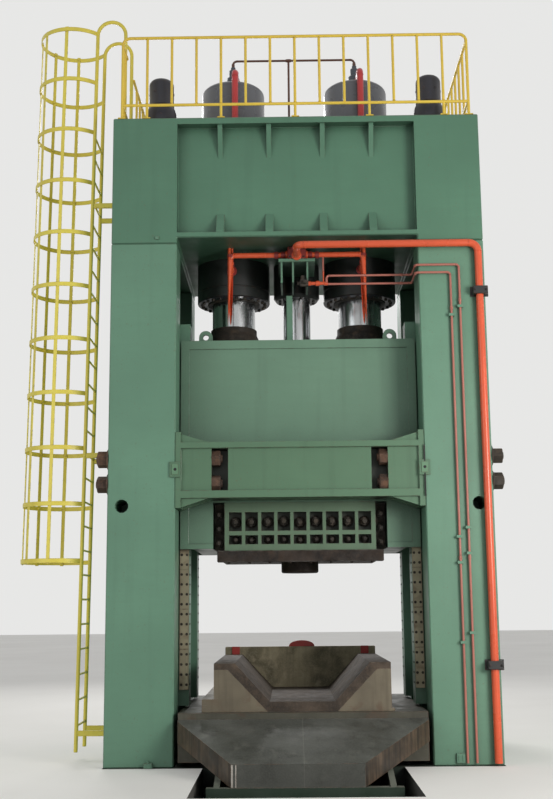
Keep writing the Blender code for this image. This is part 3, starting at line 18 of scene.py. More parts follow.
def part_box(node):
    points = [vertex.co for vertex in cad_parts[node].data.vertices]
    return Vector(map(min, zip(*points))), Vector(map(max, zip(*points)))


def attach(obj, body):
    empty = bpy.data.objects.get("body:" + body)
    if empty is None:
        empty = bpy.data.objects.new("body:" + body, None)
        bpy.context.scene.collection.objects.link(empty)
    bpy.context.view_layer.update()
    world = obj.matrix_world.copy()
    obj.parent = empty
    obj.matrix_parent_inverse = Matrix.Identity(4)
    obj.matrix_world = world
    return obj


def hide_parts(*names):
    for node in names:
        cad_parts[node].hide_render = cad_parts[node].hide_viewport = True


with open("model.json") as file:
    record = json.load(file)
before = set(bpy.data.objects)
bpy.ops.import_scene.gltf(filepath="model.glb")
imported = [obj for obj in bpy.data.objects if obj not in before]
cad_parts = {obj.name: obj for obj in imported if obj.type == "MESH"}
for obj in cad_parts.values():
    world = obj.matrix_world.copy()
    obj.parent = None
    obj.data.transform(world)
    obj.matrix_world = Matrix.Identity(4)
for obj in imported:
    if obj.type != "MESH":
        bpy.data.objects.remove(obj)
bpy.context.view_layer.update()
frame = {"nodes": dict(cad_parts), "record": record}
NODES = frame["nodes"]
FIXED = "frame"
MOVING = "slide_carriage"
rng = random.Random(7)


# Finishes: every texture lies in the row frame, in metres, and colours are linear

GREEN = (0.136, 0.278, 0.184)
SLIDE_GREEN = (0.138, 0.250, 0.168)
BEAM_GREEN = (0.096, 0.190, 0.110)
HOLDER_GREEN = (0.112, 0.182, 0.110)
# Green paint darkened as painted shade, for the parts down in the pit
PIT_SHADE_GREEN = (0.036, 0.060, 0.040)
DUST = (0.33, 0.32, 0.27)
# Near black laid inside windows as painted shade
POCKET_SHADE_TONE = (0.030, 0.034, 0.024)
RUST_BROWN = (0.105, 0.046, 0.024)
RUST_DARK = (0.040, 0.022, 0.014)
RUST_LIGHT = (0.20, 0.105, 0.058)
BARE_STEEL = (0.19, 0.18, 0.165)
SEAM_X = -0.006


def shade(colour, factor):
    """The colour made darker or lighter."""
    return tuple(min(1.0, channel * factor) for channel in colour)


class Finish:
    """Wires one procedural material."""

    def __init__(self, name, roughness=0.5, metallic=0.0):
        self.material = bpy.data.materials.new(name)
        self.material.use_nodes = True
        self.nodes = self.material.node_tree.nodes
        self.links = self.material.node_tree.links
        self.shader = self.nodes["Principled BSDF"]
        self.shader.inputs["Roughness"].default_value = roughness
        self.shader.inputs["Metallic"].default_value = metallic
        self.place = self.nodes.new("ShaderNodeTexCoord").outputs["Object"]
        self.height = None

    def feed(self, socket, value):
        """Links a socket to another, or gives it a number, a vector or an opaque colour."""
        if isinstance(value, bpy.types.NodeSocket):
            self.links.new(value, socket)
        elif socket.type == "RGBA":
            socket.default_value = (*value, 1.0)
        else:
            socket.default_value = value

    def add(self, kind, *values, **named):
        """A new node, with its first inputs fed in their order and others by name."""
        made = self.nodes.new(kind)
        for socket, value in zip(made.inputs, values):
            self.feed(socket, value)
        for name, value in named.items():
            self.feed(made.inputs[name], value)
        return made

    def spots(self, stretch=(1, 1, 1)):
        """Places in the row frame, stretched along its axes."""
        return self.add("ShaderNodeMapping", Vector=self.place, Scale=stretch).outputs["Vector"]

    def noise(self, scale, detail=3.0, stretch=(1, 1, 1), distortion=0.0):
        made = self.add("ShaderNodeTexNoise", Scale=scale, Detail=detail, Distortion=distortion)
        self.feed(made.inputs["Vector"], self.spots(stretch))
        return made.outputs["Fac"]

    def cells(self, scale):
        return self.add("ShaderNodeTexVoronoi", Vector=self.spots(), Scale=scale).outputs["Distance"]

    def band(self, value, low, high, start=0.0, stop=1.0):
        """The value moved from the span low to high to the span start to stop, and held at its ends."""
        return self.add("ShaderNodeMapRange", value, low, high, start, stop).outputs["Result"]

    def blots(self, low, high, *texture, **more):
        """Soft-edged patches of noise: none below low, full above high."""
        return self.band(self.noise(*texture, **more), low, high)

    def math(self, operation, first, second=0.5, clamp=True):
        made = self.add("ShaderNodeMath", first, second)
        made.operation = operation
        made.use_clamp = clamp
        return made.outputs["Value"]

    def times(self, first, second):
        return self.math("MULTIPLY", first, second)

    def size(self, value):
        return self.math("ABSOLUTE", value, clamp=False)

    def mix(self, amount, first, second):
        made = self.nodes.new("ShaderNodeMix")
        made.data_type = "RGBA"
        self.feed(made.inputs["Factor"], amount)
        self.feed(made.inputs[6], first)
        self.feed(made.inputs[7], second)
        return made.outputs[2]

    def coat(self, under, mask, share, over):
        """A colour laid over another where the mask is, up to a share."""
        return self.mix(self.times(mask, share), under, over)

    def facing(self, axis):
        """How far the surface faces along one axis of the row frame, from -1 to 1."""
        normal = self.add("ShaderNodeNewGeometry").outputs["Normal"]
        return self.add("ShaderNodeSeparateXYZ", normal).outputs[axis]

    def along(self, axis):
        """Position along one axis of the row frame."""
        return self.add("ShaderNodeSeparateXYZ", self.place).outputs[axis]

    def edges(self, radius):
        """Near 1 on the outer and inner edges within radius, and 0 on flat stretches."""
        bevel = self.add("ShaderNodeBevel", Radius=radius)
        bevel.samples = 4
        normal = self.add("ShaderNodeNewGeometry").outputs["Normal"]
        dot = self.add("ShaderNodeVectorMath", bevel.outputs["Normal"], normal)
        dot.operation = "DOT_PRODUCT"
        return self.band(dot.outputs["Value"], 0.985, 0.90)

    def hollows(self, distance, open_sky=0.75, shut=0.25):
        """Near 1 where the surface lies close in a corner or a recess."""
        made = self.add("ShaderNodeAmbientOcclusion", Distance=distance)
        made.samples = 4
        return self.band(made.outputs["AO"], open_sky, shut)

    def relief(self, value, depth, strength=0.5):
        """Bumps on the surface, over those that it has already."""
        made = self.add("ShaderNodeBump", Height=value, Distance=depth, Strength=strength)
        if self.height is not None:
            self.links.new(self.height, made.inputs["Normal"])
        self.height = made.outputs["Normal"]

    def done(self, colour, roughness=None):
        """The material, once its colour, roughness and bumps are on the shader."""
        self.feed(self.shader.inputs["Base Color"], colour)
        if roughness is not None:
            self.feed(self.shader.inputs["Roughness"], roughness)
        if self.height is not None:
            self.links.new(self.height, self.shader.inputs["Normal"])
        return self.material


def enamel(name, colour, gloss=0.42, streaks=0.35, wear=0.5, grime=0.5, dust=0.45, under=RUST_BROWN, soot=0.0,
           pockets=None):
    """Brush-painted steel plate: cloudy tone, run marks, dusty ledges, grimy corners that also hold painted
    shade, and chipped edges.

    Deep hollows and undersides take painted shade, by the share given after under.  The last argument darkens
    the inside of windows with painted shade, given as the axis positions that bound them: the least |X|, the
    greatest |X| and the greatest |Y|.
    """
    look = Finish(name, gloss)
    cloud = look.blots(0.32, 0.68, 0.9, 5.0)
    tone = look.mix(cloud, shade(colour, 0.90), shade(colour, 1.09))
    brushed = look.blots(0.35, 0.65, 3.0, 4.0, (1.0, 1.0, 6.0))
    tone = look.coat(tone, brushed, 0.30, shade(colour, 0.93))
    runs = look.blots(0.54, 0.80, 1.0, 5.0, (7.0, 7.0, 0.45))
    tone = look.coat(tone, runs, streaks, shade(colour, 0.66))
    specks = look.blots(0.66, 0.74, 42.0, 2.0)
    tone = look.coat(tone, specks, 0.22, shade(under, 1.5))
    if grime:
        # Grime and painted shade: where the surface lies close in a corner, patches are darkened both as dirt
        # and as painted shade.
        corner = look.times(look.hollows(0.14), look.blots(0.25, 0.65, 5.0, 4.0))
        tone = look.coat(tone, corner, grime, shade(colour, 0.34))
    if dust:
        ledge = look.times(look.band(look.facing("Z"), 0.6, 0.95), look.blots(0.2, 0.6, 6.0))
        tone = look.coat(tone, ledge, dust, DUST)
    chips = look.times(look.edges(0.010), look.blots(0.47, 0.60, 16.0, 5.0))
    tone = look.coat(tone, chips, wear, under)
    # Painted shade: deep hollows and faces turned downwards are blackened where shade falls.
    if soot:
        below = look.times(look.band(look.facing("Z"), -0.5, -0.9), 0.75)
        deep = look.math("MAXIMUM", look.hollows(1.3, 0.62, 0.12), below)
        tone = look.coat(tone, deep, soot, shade(colour, 0.14))
    # Painted shade: the inside of the windows is darkened almost to black.
    if pockets:
        inner, outer, depth = pockets
        wide = look.size(look.along("X"))
        inside = look.math("GREATER_THAN", wide, inner)
        inside = look.times(inside, look.math("LESS_THAN", wide, outer))
        inside = look.times(inside, look.math("LESS_THAN", look.size(look.along("Y")), depth))
        tone = look.coat(tone, inside, 0.92, POCKET_SHADE_TONE)
    rough = look.band(look.noise(4.0, 4.0), 0.3, 0.7, gloss - 0.06, gloss + 0.12)
    look.relief(look.noise(1.6, 3.0), 0.004, 0.35)
    look.relief(look.noise(90.0, 2.0), 0.0006, 0.5)
    return look.done(tone, rough)


def rusted(name, main, dark=RUST_DARK, light=RUST_LIGHT, streaks=0.5, metallic=0.15, gloss=0.72):
    """Hot-rolled or cast steel gone brown: blotches, pits, run marks and rubbed edges."""
    look = Finish(name, gloss, metallic)
    blotch = look.blots(0.36, 0.62, 3.2, 6.0, distortion=0.6)
    tone = look.mix(blotch, dark, main)
    bloom = look.blots(0.55, 0.72, 9.0, 5.0)
    tone = look.coat(tone, bloom, 0.55, light)
    runs = look.blots(0.48, 0.68, 1.0, 5.0, (16.0, 16.0, 0.9))
    tone = look.coat(tone, runs, streaks, shade(dark, 0.8))
    grain = look.blots(0.45, 0.7, 55.0)
    tone = look.coat(tone, grain, 0.22, shade(light, 1.1))
    rub = look.times(look.edges(0.008), look.blots(0.4, 0.6, 11.0, 4.0))
    tone = look.coat(tone, rub, 0.45, BARE_STEEL)
    rough = look.band(look.noise(12.0, 4.0), 0.3, 0.7, gloss - 0.12, gloss + 0.14)
    look.relief(look.noise(26.0, 5.0), 0.003, 0.6)
    look.relief(look.cells(150.0), 0.0007, 0.4)
    return look.done(tone, rough)


def chrome_finish():
    """Hard-chromed rod: polished along its length, with fine draw lines and a film of oil."""
    look = Finish("hard_chrome", 0.22, 1.0)
    film = look.blots(0.42, 0.72, 1.0, 4.0, (7.0, 7.0, 1.4))
    tone = look.coat((0.52, 0.53, 0.54), film, 0.35, (0.27, 0.28, 0.27))
    lines = look.noise(1.0, 3.0, (120.0, 120.0, 1.5))
    tone = look.coat(tone, look.band(lines, 0.55, 0.75), 0.18, (0.30, 0.30, 0.29))
    rough = look.band(look.noise(3.0, 4.0, (2.0, 2.0, 0.6)), 0.35, 0.7, 0.17, 0.33)
    look.relief(lines, 0.0004, 0.25)
    return look.done(tone, rough)


def worn_steel(name, colour, rust=0.35, gloss=0.5):
    """Machined tool steel that has been handled: scratches, stains and rust blooms."""
    look = Finish(name, gloss, 0.35)
    cloud = look.blots(0.34, 0.66, 2.2, 6.0)
    tone = look.mix(cloud, shade(colour, 0.76), shade(colour, 1.16))
    stain = look.blots(0.54, 0.70, 4.5, 6.0, distortion=0.8)
    tone = look.coat(tone, stain, rust, RUST_BROWN)
    runs = look.blots(0.52, 0.72, 1.0, 4.0, (18.0, 18.0, 1.1))
    tone = look.coat(tone, runs, 0.4, shade(colour, 0.5))
    scratch = look.blots(0.64, 0.72, 1.0, 4.0, (9.0, 200.0, 200.0))
    tone = look.coat(tone, scratch, 0.35, shade(BARE_STEEL, 1.5))
    rim = look.times(look.edges(0.012), look.blots(0.38, 0.58, 13.0, 5.0))
    tone = look.coat(tone, rim, 0.8, RUST_BROWN)
    rough = look.band(look.noise(7.0, 5.0), 0.3, 0.7, gloss - 0.14, gloss + 0.16)
    look.relief(look.noise(30.0, 5.0), 0.0015, 0.5)
    look.relief(scratch, 0.0006, 0.4)
    return look.done(tone, rough)


def apron_finish():
    """Sloping apron: worn grey-blue top with a pale seam, a nose darkened by painted shade, brown sides with
    run marks.
    """
    look = Finish("apron_plate", 0.55, 0.2)
    cloud = look.blots(0.33, 0.66, 1.7, 6.0, distortion=0.5)
    top = look.mix(cloud, (0.072, 0.074, 0.062), (0.140, 0.142, 0.124))
    scuff = look.blots(0.56, 0.72, 9.0, 6.0, (1.0, 0.4, 1.0))
    top = look.coat(top, scuff, 0.5, (0.20, 0.195, 0.165))
    spill = look.blots(0.58, 0.68, 2.6, 5.0, distortion=1.1)
    top = look.coat(top, spill, 0.6, (0.045, 0.044, 0.037))
    grain = look.blots(0.42, 0.68, 60.0)
    top = look.coat(top, grain, 0.30, (0.20, 0.20, 0.175))
    seam = look.size(look.math("SUBTRACT", look.along("X"), SEAM_X, clamp=False))
    top = look.coat(top, look.band(seam, 0.006, 0.002), 0.45, (0.24, 0.235, 0.20))
    side = look.mix(look.blots(0.38, 0.62, 3.5, 6.0), (0.040, 0.030, 0.020), (0.120, 0.082, 0.052))
    runs = look.blots(0.46, 0.62, 1.0, 5.0, (22.0, 22.0, 0.8))
    side = look.coat(side, runs, 0.7, (0.020, 0.015, 0.011))
    # Painted shade: faces turned to the front are darkened so the nose reads darker than the top.
    nose = look.band(look.size(look.facing("Y")), 0.75, 0.95)
    top = look.coat(top, nose, 0.45, (0.050, 0.052, 0.044))
    slant = look.size(look.facing("X"))
    tone = look.mix(look.band(slant, 0.45, 0.25), side, top)
    rim = look.times(look.edges(0.012), look.blots(0.42, 0.58, 12.0, 5.0))
    tone = look.coat(tone, rim, 0.55, RUST_LIGHT)
    rough = look.band(look.noise(6.0, 5.0), 0.3, 0.7, 0.42, 0.72)
    look.relief(look.noise(22.0, 5.0), 0.002, 0.6)
    return look.done(tone, rough)


M = {"rod_chrome": chrome_finish(), "apron_steel": apron_finish()}


def offer(make, slot, *colours, **looks):
    """Makes the finish of a material slot and keeps it in M under the slot's name."""
    M[slot] = make(slot, *colours, **looks)


offer(enamel, "column_paint", GREEN, soot=0.4)
offer(enamel, "crown_paint", (0.098, 0.222, 0.140), streaks=0.4, soot=0.85)
offer(enamel, "bed_paint", PIT_SHADE_GREEN, streaks=0.6, grime=0.7, soot=0.8)
offer(enamel, "beam_green", BEAM_GREEN, streaks=0.5, wear=0.6, soot=0.6, pockets=(0.79, 0.985, 1.262))
offer(enamel, "slide_green", SLIDE_GREEN, gloss=0.36, streaks=0.4, soot=0.95)
offer(enamel, "holder_green", HOLDER_GREEN, gloss=0.5, streaks=0.6, wear=0.8, grime=0.75, soot=0.5,
      pockets=(-1.0, 2.0, 0.822))
offer(rusted, "adapter_rust", (0.034, 0.020, 0.012), (0.012, 0.008, 0.006), (0.068, 0.040, 0.024))
offer(rusted, "collar_brown", (0.044, 0.033, 0.024), (0.014, 0.012, 0.010), (0.10, 0.07, 0.045))
offer(enamel, "cylinder_black", (0.014, 0.016, 0.015), gloss=0.34, streaks=0.2, dust=0.2)
offer(enamel, "head_blue", (0.135, 0.138, 0.155), gloss=0.26, streaks=0.4, under=(0.05, 0.04, 0.03))
offer(enamel, "valve_dark", (0.075, 0.090, 0.110), gloss=0.3, streaks=0.2)
offer(enamel, "nut_black", (0.024, 0.024, 0.034), gloss=0.38, streaks=0.2, dust=0.3)
offer(enamel, "pipe_orange", (0.76, 0.112, 0.042), gloss=0.26, streaks=0.25, grime=0.4, dust=0.2)
offer(enamel, "pipe_red", (0.62, 0.052, 0.055), gloss=0.30, streaks=0.2, grime=0.3, dust=0.2)
offer(enamel, "pipe_pink", (0.47, 0.165, 0.125), gloss=0.42, streaks=0.3, grime=0.3, dust=0.1)
offer(enamel, "pipe_brown", (0.12, 0.052, 0.034), gloss=0.5, grime=0.2)
offer(enamel, "clamp_black", (0.018, 0.018, 0.018), gloss=0.45, dust=0.3)
offer(enamel, "bracket_green", shade(GREEN, 0.92), streaks=0.3, soot=0.8)
offer(enamel, "railing_yellow", (0.95, 0.66, 0.085), gloss=0.38, streaks=0.3, wear=0.7, grime=0.3)
offer(enamel, "ladder_yellow", (0.96, 0.78, 0.115), gloss=0.40, streaks=0.4, wear=0.8, grime=0.35)
offer(worn_steel, "wear_bronze", (0.34, 0.30, 0.20), rust=0.6, gloss=0.5)
offer(worn_steel, "table_steel", (0.082, 0.078, 0.058), rust=0.3)
offer(worn_steel, "die_steel", (0.178, 0.150, 0.104), rust=0.5)
offer(rusted, "liner_rust", (0.080, 0.058, 0.041), (0.034, 0.025, 0.018), (0.145, 0.096, 0.062), 0.4)
M["cradle_rust"] = enamel("cradle_paint", PIT_SHADE_GREEN, streaks=0.6, grime=0.6, soot=0.8)
RUST_NUT = rusted("rusty_fastener", (0.105, 0.056, 0.034), (0.024, 0.016, 0.012), (0.25, 0.125, 0.07), 0.2)
DARK_NUT = rusted("dark_fastener", (0.045, 0.036, 0.026), (0.012, 0.011, 0.009), (0.10, 0.07, 0.045), 0.2)
POST_RED = enamel("post_red", (0.42, 0.034, 0.026), gloss=0.45, wear=0.9, grime=0.5)
FITTING_RED = enamel("fitting_red", (0.26, 0.030, 0.026), gloss=0.4, wear=0.6, grime=0.5)
KEY_PALE = enamel("key_pale", shade(BEAM_GREEN, 1.35), gloss=0.5, wear=0.6)
# Painted light: the stained brown of the back plate is made about twice as light as the die's steel, to cancel
# the shade it sits in.
PLATE_STAIN_AND_LIGHT = rusted("back_plate_stain_and_light", (0.36, 0.31, 0.20), (0.15, 0.13, 0.08), (0.48, 0.41, 0.28), 0.35)
# Pale steel for the painted highlights on the apron's nose
NOSE_GLINT = worn_steel("painted_glint_steel", (0.75, 0.70, 0.62), rust=0.2)
SLOT_BLACK = enamel("slot_black", (0.006, 0.007, 0.006), gloss=0.6, dust=0.0, wear=0.0)

for entry in frame["record"]["subparts"]:
    looks = NODES[entry["node"]].data.materials
    looks.clear()
    looks.append(FITTING_RED if entry["node"] == "manifold" else M[entry["material_slot"]])


# Building blocks

UP = (0, 0, 1)
DOWN = (0, 0, -1)
FORWARD = (0, -1, 0)
BACKWARD = (0, 1, 0)
BOTH = (-1, 1)
OCTAGON = math.cos(math.pi / 8)
BEAD_PITCH = 0.022

# Sides of the turned bodies, by their width

LARGE = 96
MIDDLE = 72
SMALL = 64


def aim(at, way):
    """Frame with its origin at a point and its Z axis along a direction."""
    turn = Vector(way).to_track_quat("Z", "Y").to_matrix().to_4x4()
    return Matrix.Translation(Vector(at)) @ turn


def plumb(x, y, z=0.0):
    """Frame with its origin at a point and its axes along those of the model."""
    return Matrix.Translation((x, y, z))


def angles(count, phase=0.0):
    """Angles evenly spread round a circle, the first moved on by a phase of the pitch."""
    return [2 * math.pi * (step + phase) / count for step in range(count)]


def bolt_circle(x, y, z, radius, count, phase=0.0):
    """Places on a level circle."""
    return [(x + radius * math.cos(turn), y + radius * math.sin(turn), z) for turn in angles(count, phase)]


def side_places(x, y, z, radius, count, phase=0.0):
    """Places round an upright cylinder's side, each with its outward direction."""
    ways = [Vector((math.cos(turn), math.sin(turn), 0.0)) for turn in angles(count, phase)]
    return [(Vector((x, y, z)) + way * radius, way) for way in ways]


def lifted(base, *pairs):
    """(radius, height) pairs with their heights measured from a base level."""
    return [(radius, base + height) for radius, height in pairs]


def cuff(inner, outer, tall):
    """Profile of a plain ring, or of a disc where inner is 0."""
    return [(inner, 0.0), (outer, 0.0), (outer, tall), (inner, tall)]


def stub(low, high, wide, end, chamfer):
    """Profile of a solid cylinder whose upper rim is cut back to a smaller radius."""
    return [(0.0, low), (wide, low), (wide, high - chamfer), (end, high), (0.0, high)]


def dome(outer, inner, base, rise, steps, first=0):
    """Profile of a quarter ellipse from the outer radius at the base to the inner one at its top."""
    turns = [math.pi / 2 * step / steps for step in range(first, steps + 1)]
    return [(inner + (outer - inner) * math.cos(turn), base + rise * math.sin(turn)) for turn in turns]


def turned(bm, profile, place, steps, phase=0.0):
    """A closed body turned about the Z axis of place from (radius, height) pairs."""
    rings = []
    for radius, height in profile:
        if radius == 0.0:
            rings.append([bm.verts.new(place @ Vector((0.0, 0.0, height)))])
            continue
        spots = bolt_circle(0.0, 0.0, height, radius, steps, phase)
        rings.append([bm.verts.new(place @ Vector(spot)) for spot in spots])
    for lower, upper in zip(rings, rings[1:] + rings[:1]):
        for step in range(steps):
            after = (step + 1) % steps
            corners = [lower[step % len(lower)], lower[after % len(lower)]]
            corners += [upper[after % len(upper)], upper[step % len(upper)]]
            distinct = list(dict.fromkeys(corners))
            if len(distinct) > 2:
                bm.faces.new(distinct)


def lathe(profile, place, steps):
    """A new mesh with one turned body in it."""
    bm = bmesh.new()
    turned(bm, profile, place, steps)
    return bm


def softened(profile, radius):
    """The profile with each outer corner between straight runs cut by a small chamfer."""
    points = [profile[0]]
    for before, corner, after in zip(profile, profile[1:], profile[2:]):
        corner = Vector(corner)
        enter = Vector(before) - corner
        leave = Vector(after) - corner
        if min(enter.length, leave.length) < 2.5 * radius:
            points.append(tuple(corner))
            continue
        points.append(tuple(corner + enter.normalized() * radius))
        points.append(tuple(corner + (enter.normalized() + leave.normalized()) * radius * 0.3))
        points.append(tuple(corner + leave.normalized() * radius))
    points.append(profile[-1])
    return points


def skin(bm, first, second):
    """A band of faces between two rings of corners."""
    for step in range(len(first)):
        after = (step + 1) % len(first)
        bm.faces.new((first[step], first[after], second[after], second[step]))


def loft(bm, rings):
    """A closed body through rings of corners."""
    for first, second in zip(rings, rings[1:]):
        skin(bm, first, second)
    bm.faces.new(rings[0][::-1])
    bm.faces.new(rings[-1])


def tube(bm, route, radius, sides):
    """A closed round bar swept along the route, mitred where the route turns."""
    route = [Vector(point) for point in route]
    ways = [(after - before).normalized() for before, after in zip(route, route[1:])]
    upright = Vector(UP) if abs(ways[0].z) < 0.9 else Vector(BACKWARD)
    across = ways[0].cross(upright).normalized()
    rings = []
    for number, point in enumerate(route):
        enter = ways[max(number - 1, 0)]
        leave = ways[min(number, len(ways) - 1)]
        plane = (enter + leave).normalized()
        across = (across - enter * across.dot(enter)).normalized()
        rise = enter.cross(across)
        ring = []
        for turn in angles(sides):
            spoke = (across * math.cos(turn) + rise * math.sin(turn)) * radius
            spoke -= enter * (spoke.dot(plane) / enter.dot(plane))
            ring.append(bm.verts.new(point + spoke))
        rings.append(ring)
        across = across - leave * across.dot(leave)
    loft(bm, rings)


def elbow_radii(corners, elbow):
    """One elbow radius for each inner corner, from one radius for all or a row of them."""
    return elbow if isinstance(elbow, tuple) else [elbow] * (len(corners) - 2)


def rounded_route(corners, elbow, steps=10):
    """Points of a pipe run with each inner corner replaced by an arc."""
    points = [Vector(corners[0])]
    bends = zip(corners, corners[1:], corners[2:], elbow_radii(corners, elbow))
    for before, corner, after, radius in bends:
        corner = Vector(corner)
        enter = (Vector(before) - corner).normalized()
        leave = (Vector(after) - corner).normalized()
        half = enter.angle(leave) / 2
        reach = radius / math.tan(half)
        centre = corner + (enter + leave).normalized() * radius / math.sin(half)
        start = corner + enter * reach - centre
        end = corner + leave * reach - centre
        sweep = start.angle(end)
        for step in range(steps + 1):
            part = step / steps
            first = math.sin((1 - part) * sweep) / math.sin(sweep)
            second = math.sin(part * sweep) / math.sin(sweep)
            points.append(centre + start * first + end * second)
    points.append(Vector(corners[-1]))
    return points


def block(bm, low, high, edge):
    """A rectangular body between two corners, with rounded edges unless edge is 0."""
    made = bmesh.ops.create_cube(bm, size=1.0)
    for vert in made["verts"]:
        part = vert.co + Vector((0.5, 0.5, 0.5))
        vert.co = Vector(a + (b - a) * t for a, b, t in zip(Vector(low), Vector(high), part))
    sides = list(dict.fromkeys(side for vert in made["verts"] for side in vert.link_edges))
    if edge:
        bmesh.ops.bevel(bm, geom=sides, offset=edge, segments=2, affect="EDGES", clamp_overlap=True)


def hex_head(bm, at, way, size, tall=None, washer=True, stud=0.0):
    """Hexagon bolt head or nut on a face, with its washer and, if stud isn't 0, the thread's end."""
    place = aim(at, way)
    tall = tall or size * 0.9
    foot = 0.0
    if washer:
        foot = size * 0.18
        turned(bm, stub(0.0, foot, size * 1.25, size * 1.18, foot * 0.3), place, 20)
    top = foot + tall
    bevel = size * 0.10
    turned(bm, stub(foot, top, size, size * 0.86, bevel), place, 6, rng.random())
    if stud:
        turned(bm, stub(foot, top + stud, size * 0.52, size * 0.42, bevel), place, 14)


def socket_head(bm, at, way, size):
    """Cap screw head with its socket."""
    tall = size * 1.1
    head = [(0.0, 0.0), (size, 0.0), (size, tall * 0.88), (size * 0.9, tall), (size * 0.55, tall)]
    head += [(size * 0.50, tall * 0.45), (0.0, tall * 0.45)]
    turned(bm, head, aim(at, way), 18)


def bead(bm, x, y, z, radius):
    """A rippled weld bead along X or along Z, whichever of x and z is a pair of ends."""
    ends = [(end, y, z) for end in x] if isinstance(x, tuple) else [(x, y, end) for end in z]
    start, end = Vector(ends[0]), Vector(ends[1])
    span = (end - start).length
    count = 2 * max(4, int(span / BEAD_PITCH))
    profile = [(0.0, 0.0)]
    for step in range(count + 1):
        swell = radius * (1.08 if step % 2 else 0.86) * (0.93 + 0.14 * rng.random())
        profile.append((swell, span * step / count))
    profile.append((0.0, span))
    turned(bm, profile, aim(start, (end - start).normalized()), 8)


def piece(name, bm, slot, *replaces, body=FIXED, finish=None):
    """Turns a bmesh in the row frame into a piece that rides on a body."""
    bmesh.ops.recalc_face_normals(bm, faces=bm.faces)
    mesh = bpy.data.meshes.new(name)
    bm.to_mesh(mesh)
    bm.free()
    mesh.shade_smooth()
    mesh.set_sharp_from_angle(angle=math.radians(35.0))
    mesh.materials.append(finish or M[slot])
    made = bpy.data.objects.new(name, mesh)
    bpy.context.scene.collection.objects.link(made)
    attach(made, body)
    if replaces:
        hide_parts(*replaces)


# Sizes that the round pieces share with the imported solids

FACETS = 20
TIE_FACETS = 12
BORE_RUN = 0.0008
CYLINDER_BODY = 0.42
ROD_RADIUS = 0.265
PISTON_DROP = 0.25
COLLAR_RADIUS = 0.31
COLLAR_NECK = 0.285
COLLAR_SHOULDER = 0.20
CENTRE_BODY = 0.24
HEAD_RADIUS = 0.40
HEAD_FLANGE = 0.415
HEAD_FLANGE_TALL = 0.10
HEAD_SHOULDER = 0.84
HEAD_TOP = 0.17
HEAD_DOME = 0.10
VALVE_RADIUS = 0.080
TIE_RADIUS = 0.10
TIE_BASE = 0.18
TIE_BASE_TALL = 0.26
TIE_NUT = 0.148
TIE_CAP = 0.075
TIE_FOOT = 0.15
TIE_FOOT_TALL = 0.25
TIE_DIMPLE_LEVEL = 0.16
ADAPTER_THICK = 0.128
ADAPTER_RECESS = 0.030
ADAPTER_BAR = 0.14
ADAPTER_SCREWS = 8
BACK_PLATE_DROP = 0.035
BACK_PLATE_NUTS = 7
KNOB_X = 0.02
KNOB_HALF = 0.165
KNOB_TALL = 0.085

# Circles of fasteners: radius, number and phase

CYLINDER_SCREWS = (0.39, 24, 0.5)
CENTRE_SCREWS = (0.215, 12, 0.5)
FOOT_BOLTS = (0.236, 10, 0.5)
CAP_BOLTS = (0.255, 12)
HEAD_BOLTS = (0.408, 24)
VALVE_BOLTS = (0.099, 8, 0.5)

crown_low, crown_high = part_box("crown")
slide_low, slide_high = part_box("slide")
bed_low, bed_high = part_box("bed")
holder_low, holder_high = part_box("tool_holder")
FLOOR = bed_high.z
CROWN_TOP = crown_high.z
CROWN_ARCH = 0.07
CROWN_UNDER = crown_low.z + CROWN_ARCH
FRONT = crown_low.y


def round_node(node, facets=FACETS):
    """Axis point, low and high level and radius of a faceted round node that stands along Z."""
    low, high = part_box(node)
    middle = (low + high) / 2
    return middle.x, middle.y, low.z, high.z, (high.x - low.x) / 2 / math.cos(math.pi / facets)


# Cylinders, rods and tie rods


def dress_main_cylinder(side):
    """Cylinder with the groove in its flange, the flange's face, its screws and the rod gland."""
    x, y, low, high, radius = round_node("main_cylinder_" + side)
    bore = ROD_RADIUS + BORE_RUN
    profile = lifted(low, (bore, 0.0), (radius - 0.012, 0.0), (radius, 0.012), (radius, 0.125))
    profile += lifted(low, (radius - 0.006, 0.130), (radius - 0.006, 0.138), (radius, 0.143))
    profile += [(radius, CROWN_UNDER), (CYLINDER_BODY, CROWN_UNDER), (CYLINDER_BODY, high), (bore, high)]
    piece("cylinder_" + side, lathe(profile, plumb(x, y), LARGE), "cylinder_black", "main_cylinder_" + side)
    face = lifted(low, (0.335, -0.004), (0.442, -0.004), (0.445, -0.001), (0.445, 0.0), (0.335, 0.0))
    piece("flange_face_" + side, lathe(face, plumb(x, y), LARGE), "cylinder_black", finish=M["nut_black"])
    bm = bmesh.new()
    for spot in bolt_circle(x, y, low - 0.004, *CYLINDER_SCREWS):
        socket_head(bm, spot, DOWN, 0.019)
    inner = bore + 0.004
    gland = lifted(low, (inner, -0.014), (bore + 0.052, -0.014), (bore + 0.058, 0.0), (inner, 0.0))
    turned(bm, gland, plumb(x, y), SMALL)
    piece("cylinder_screws_" + side, bm, "cylinder_black", finish=DARK_NUT)


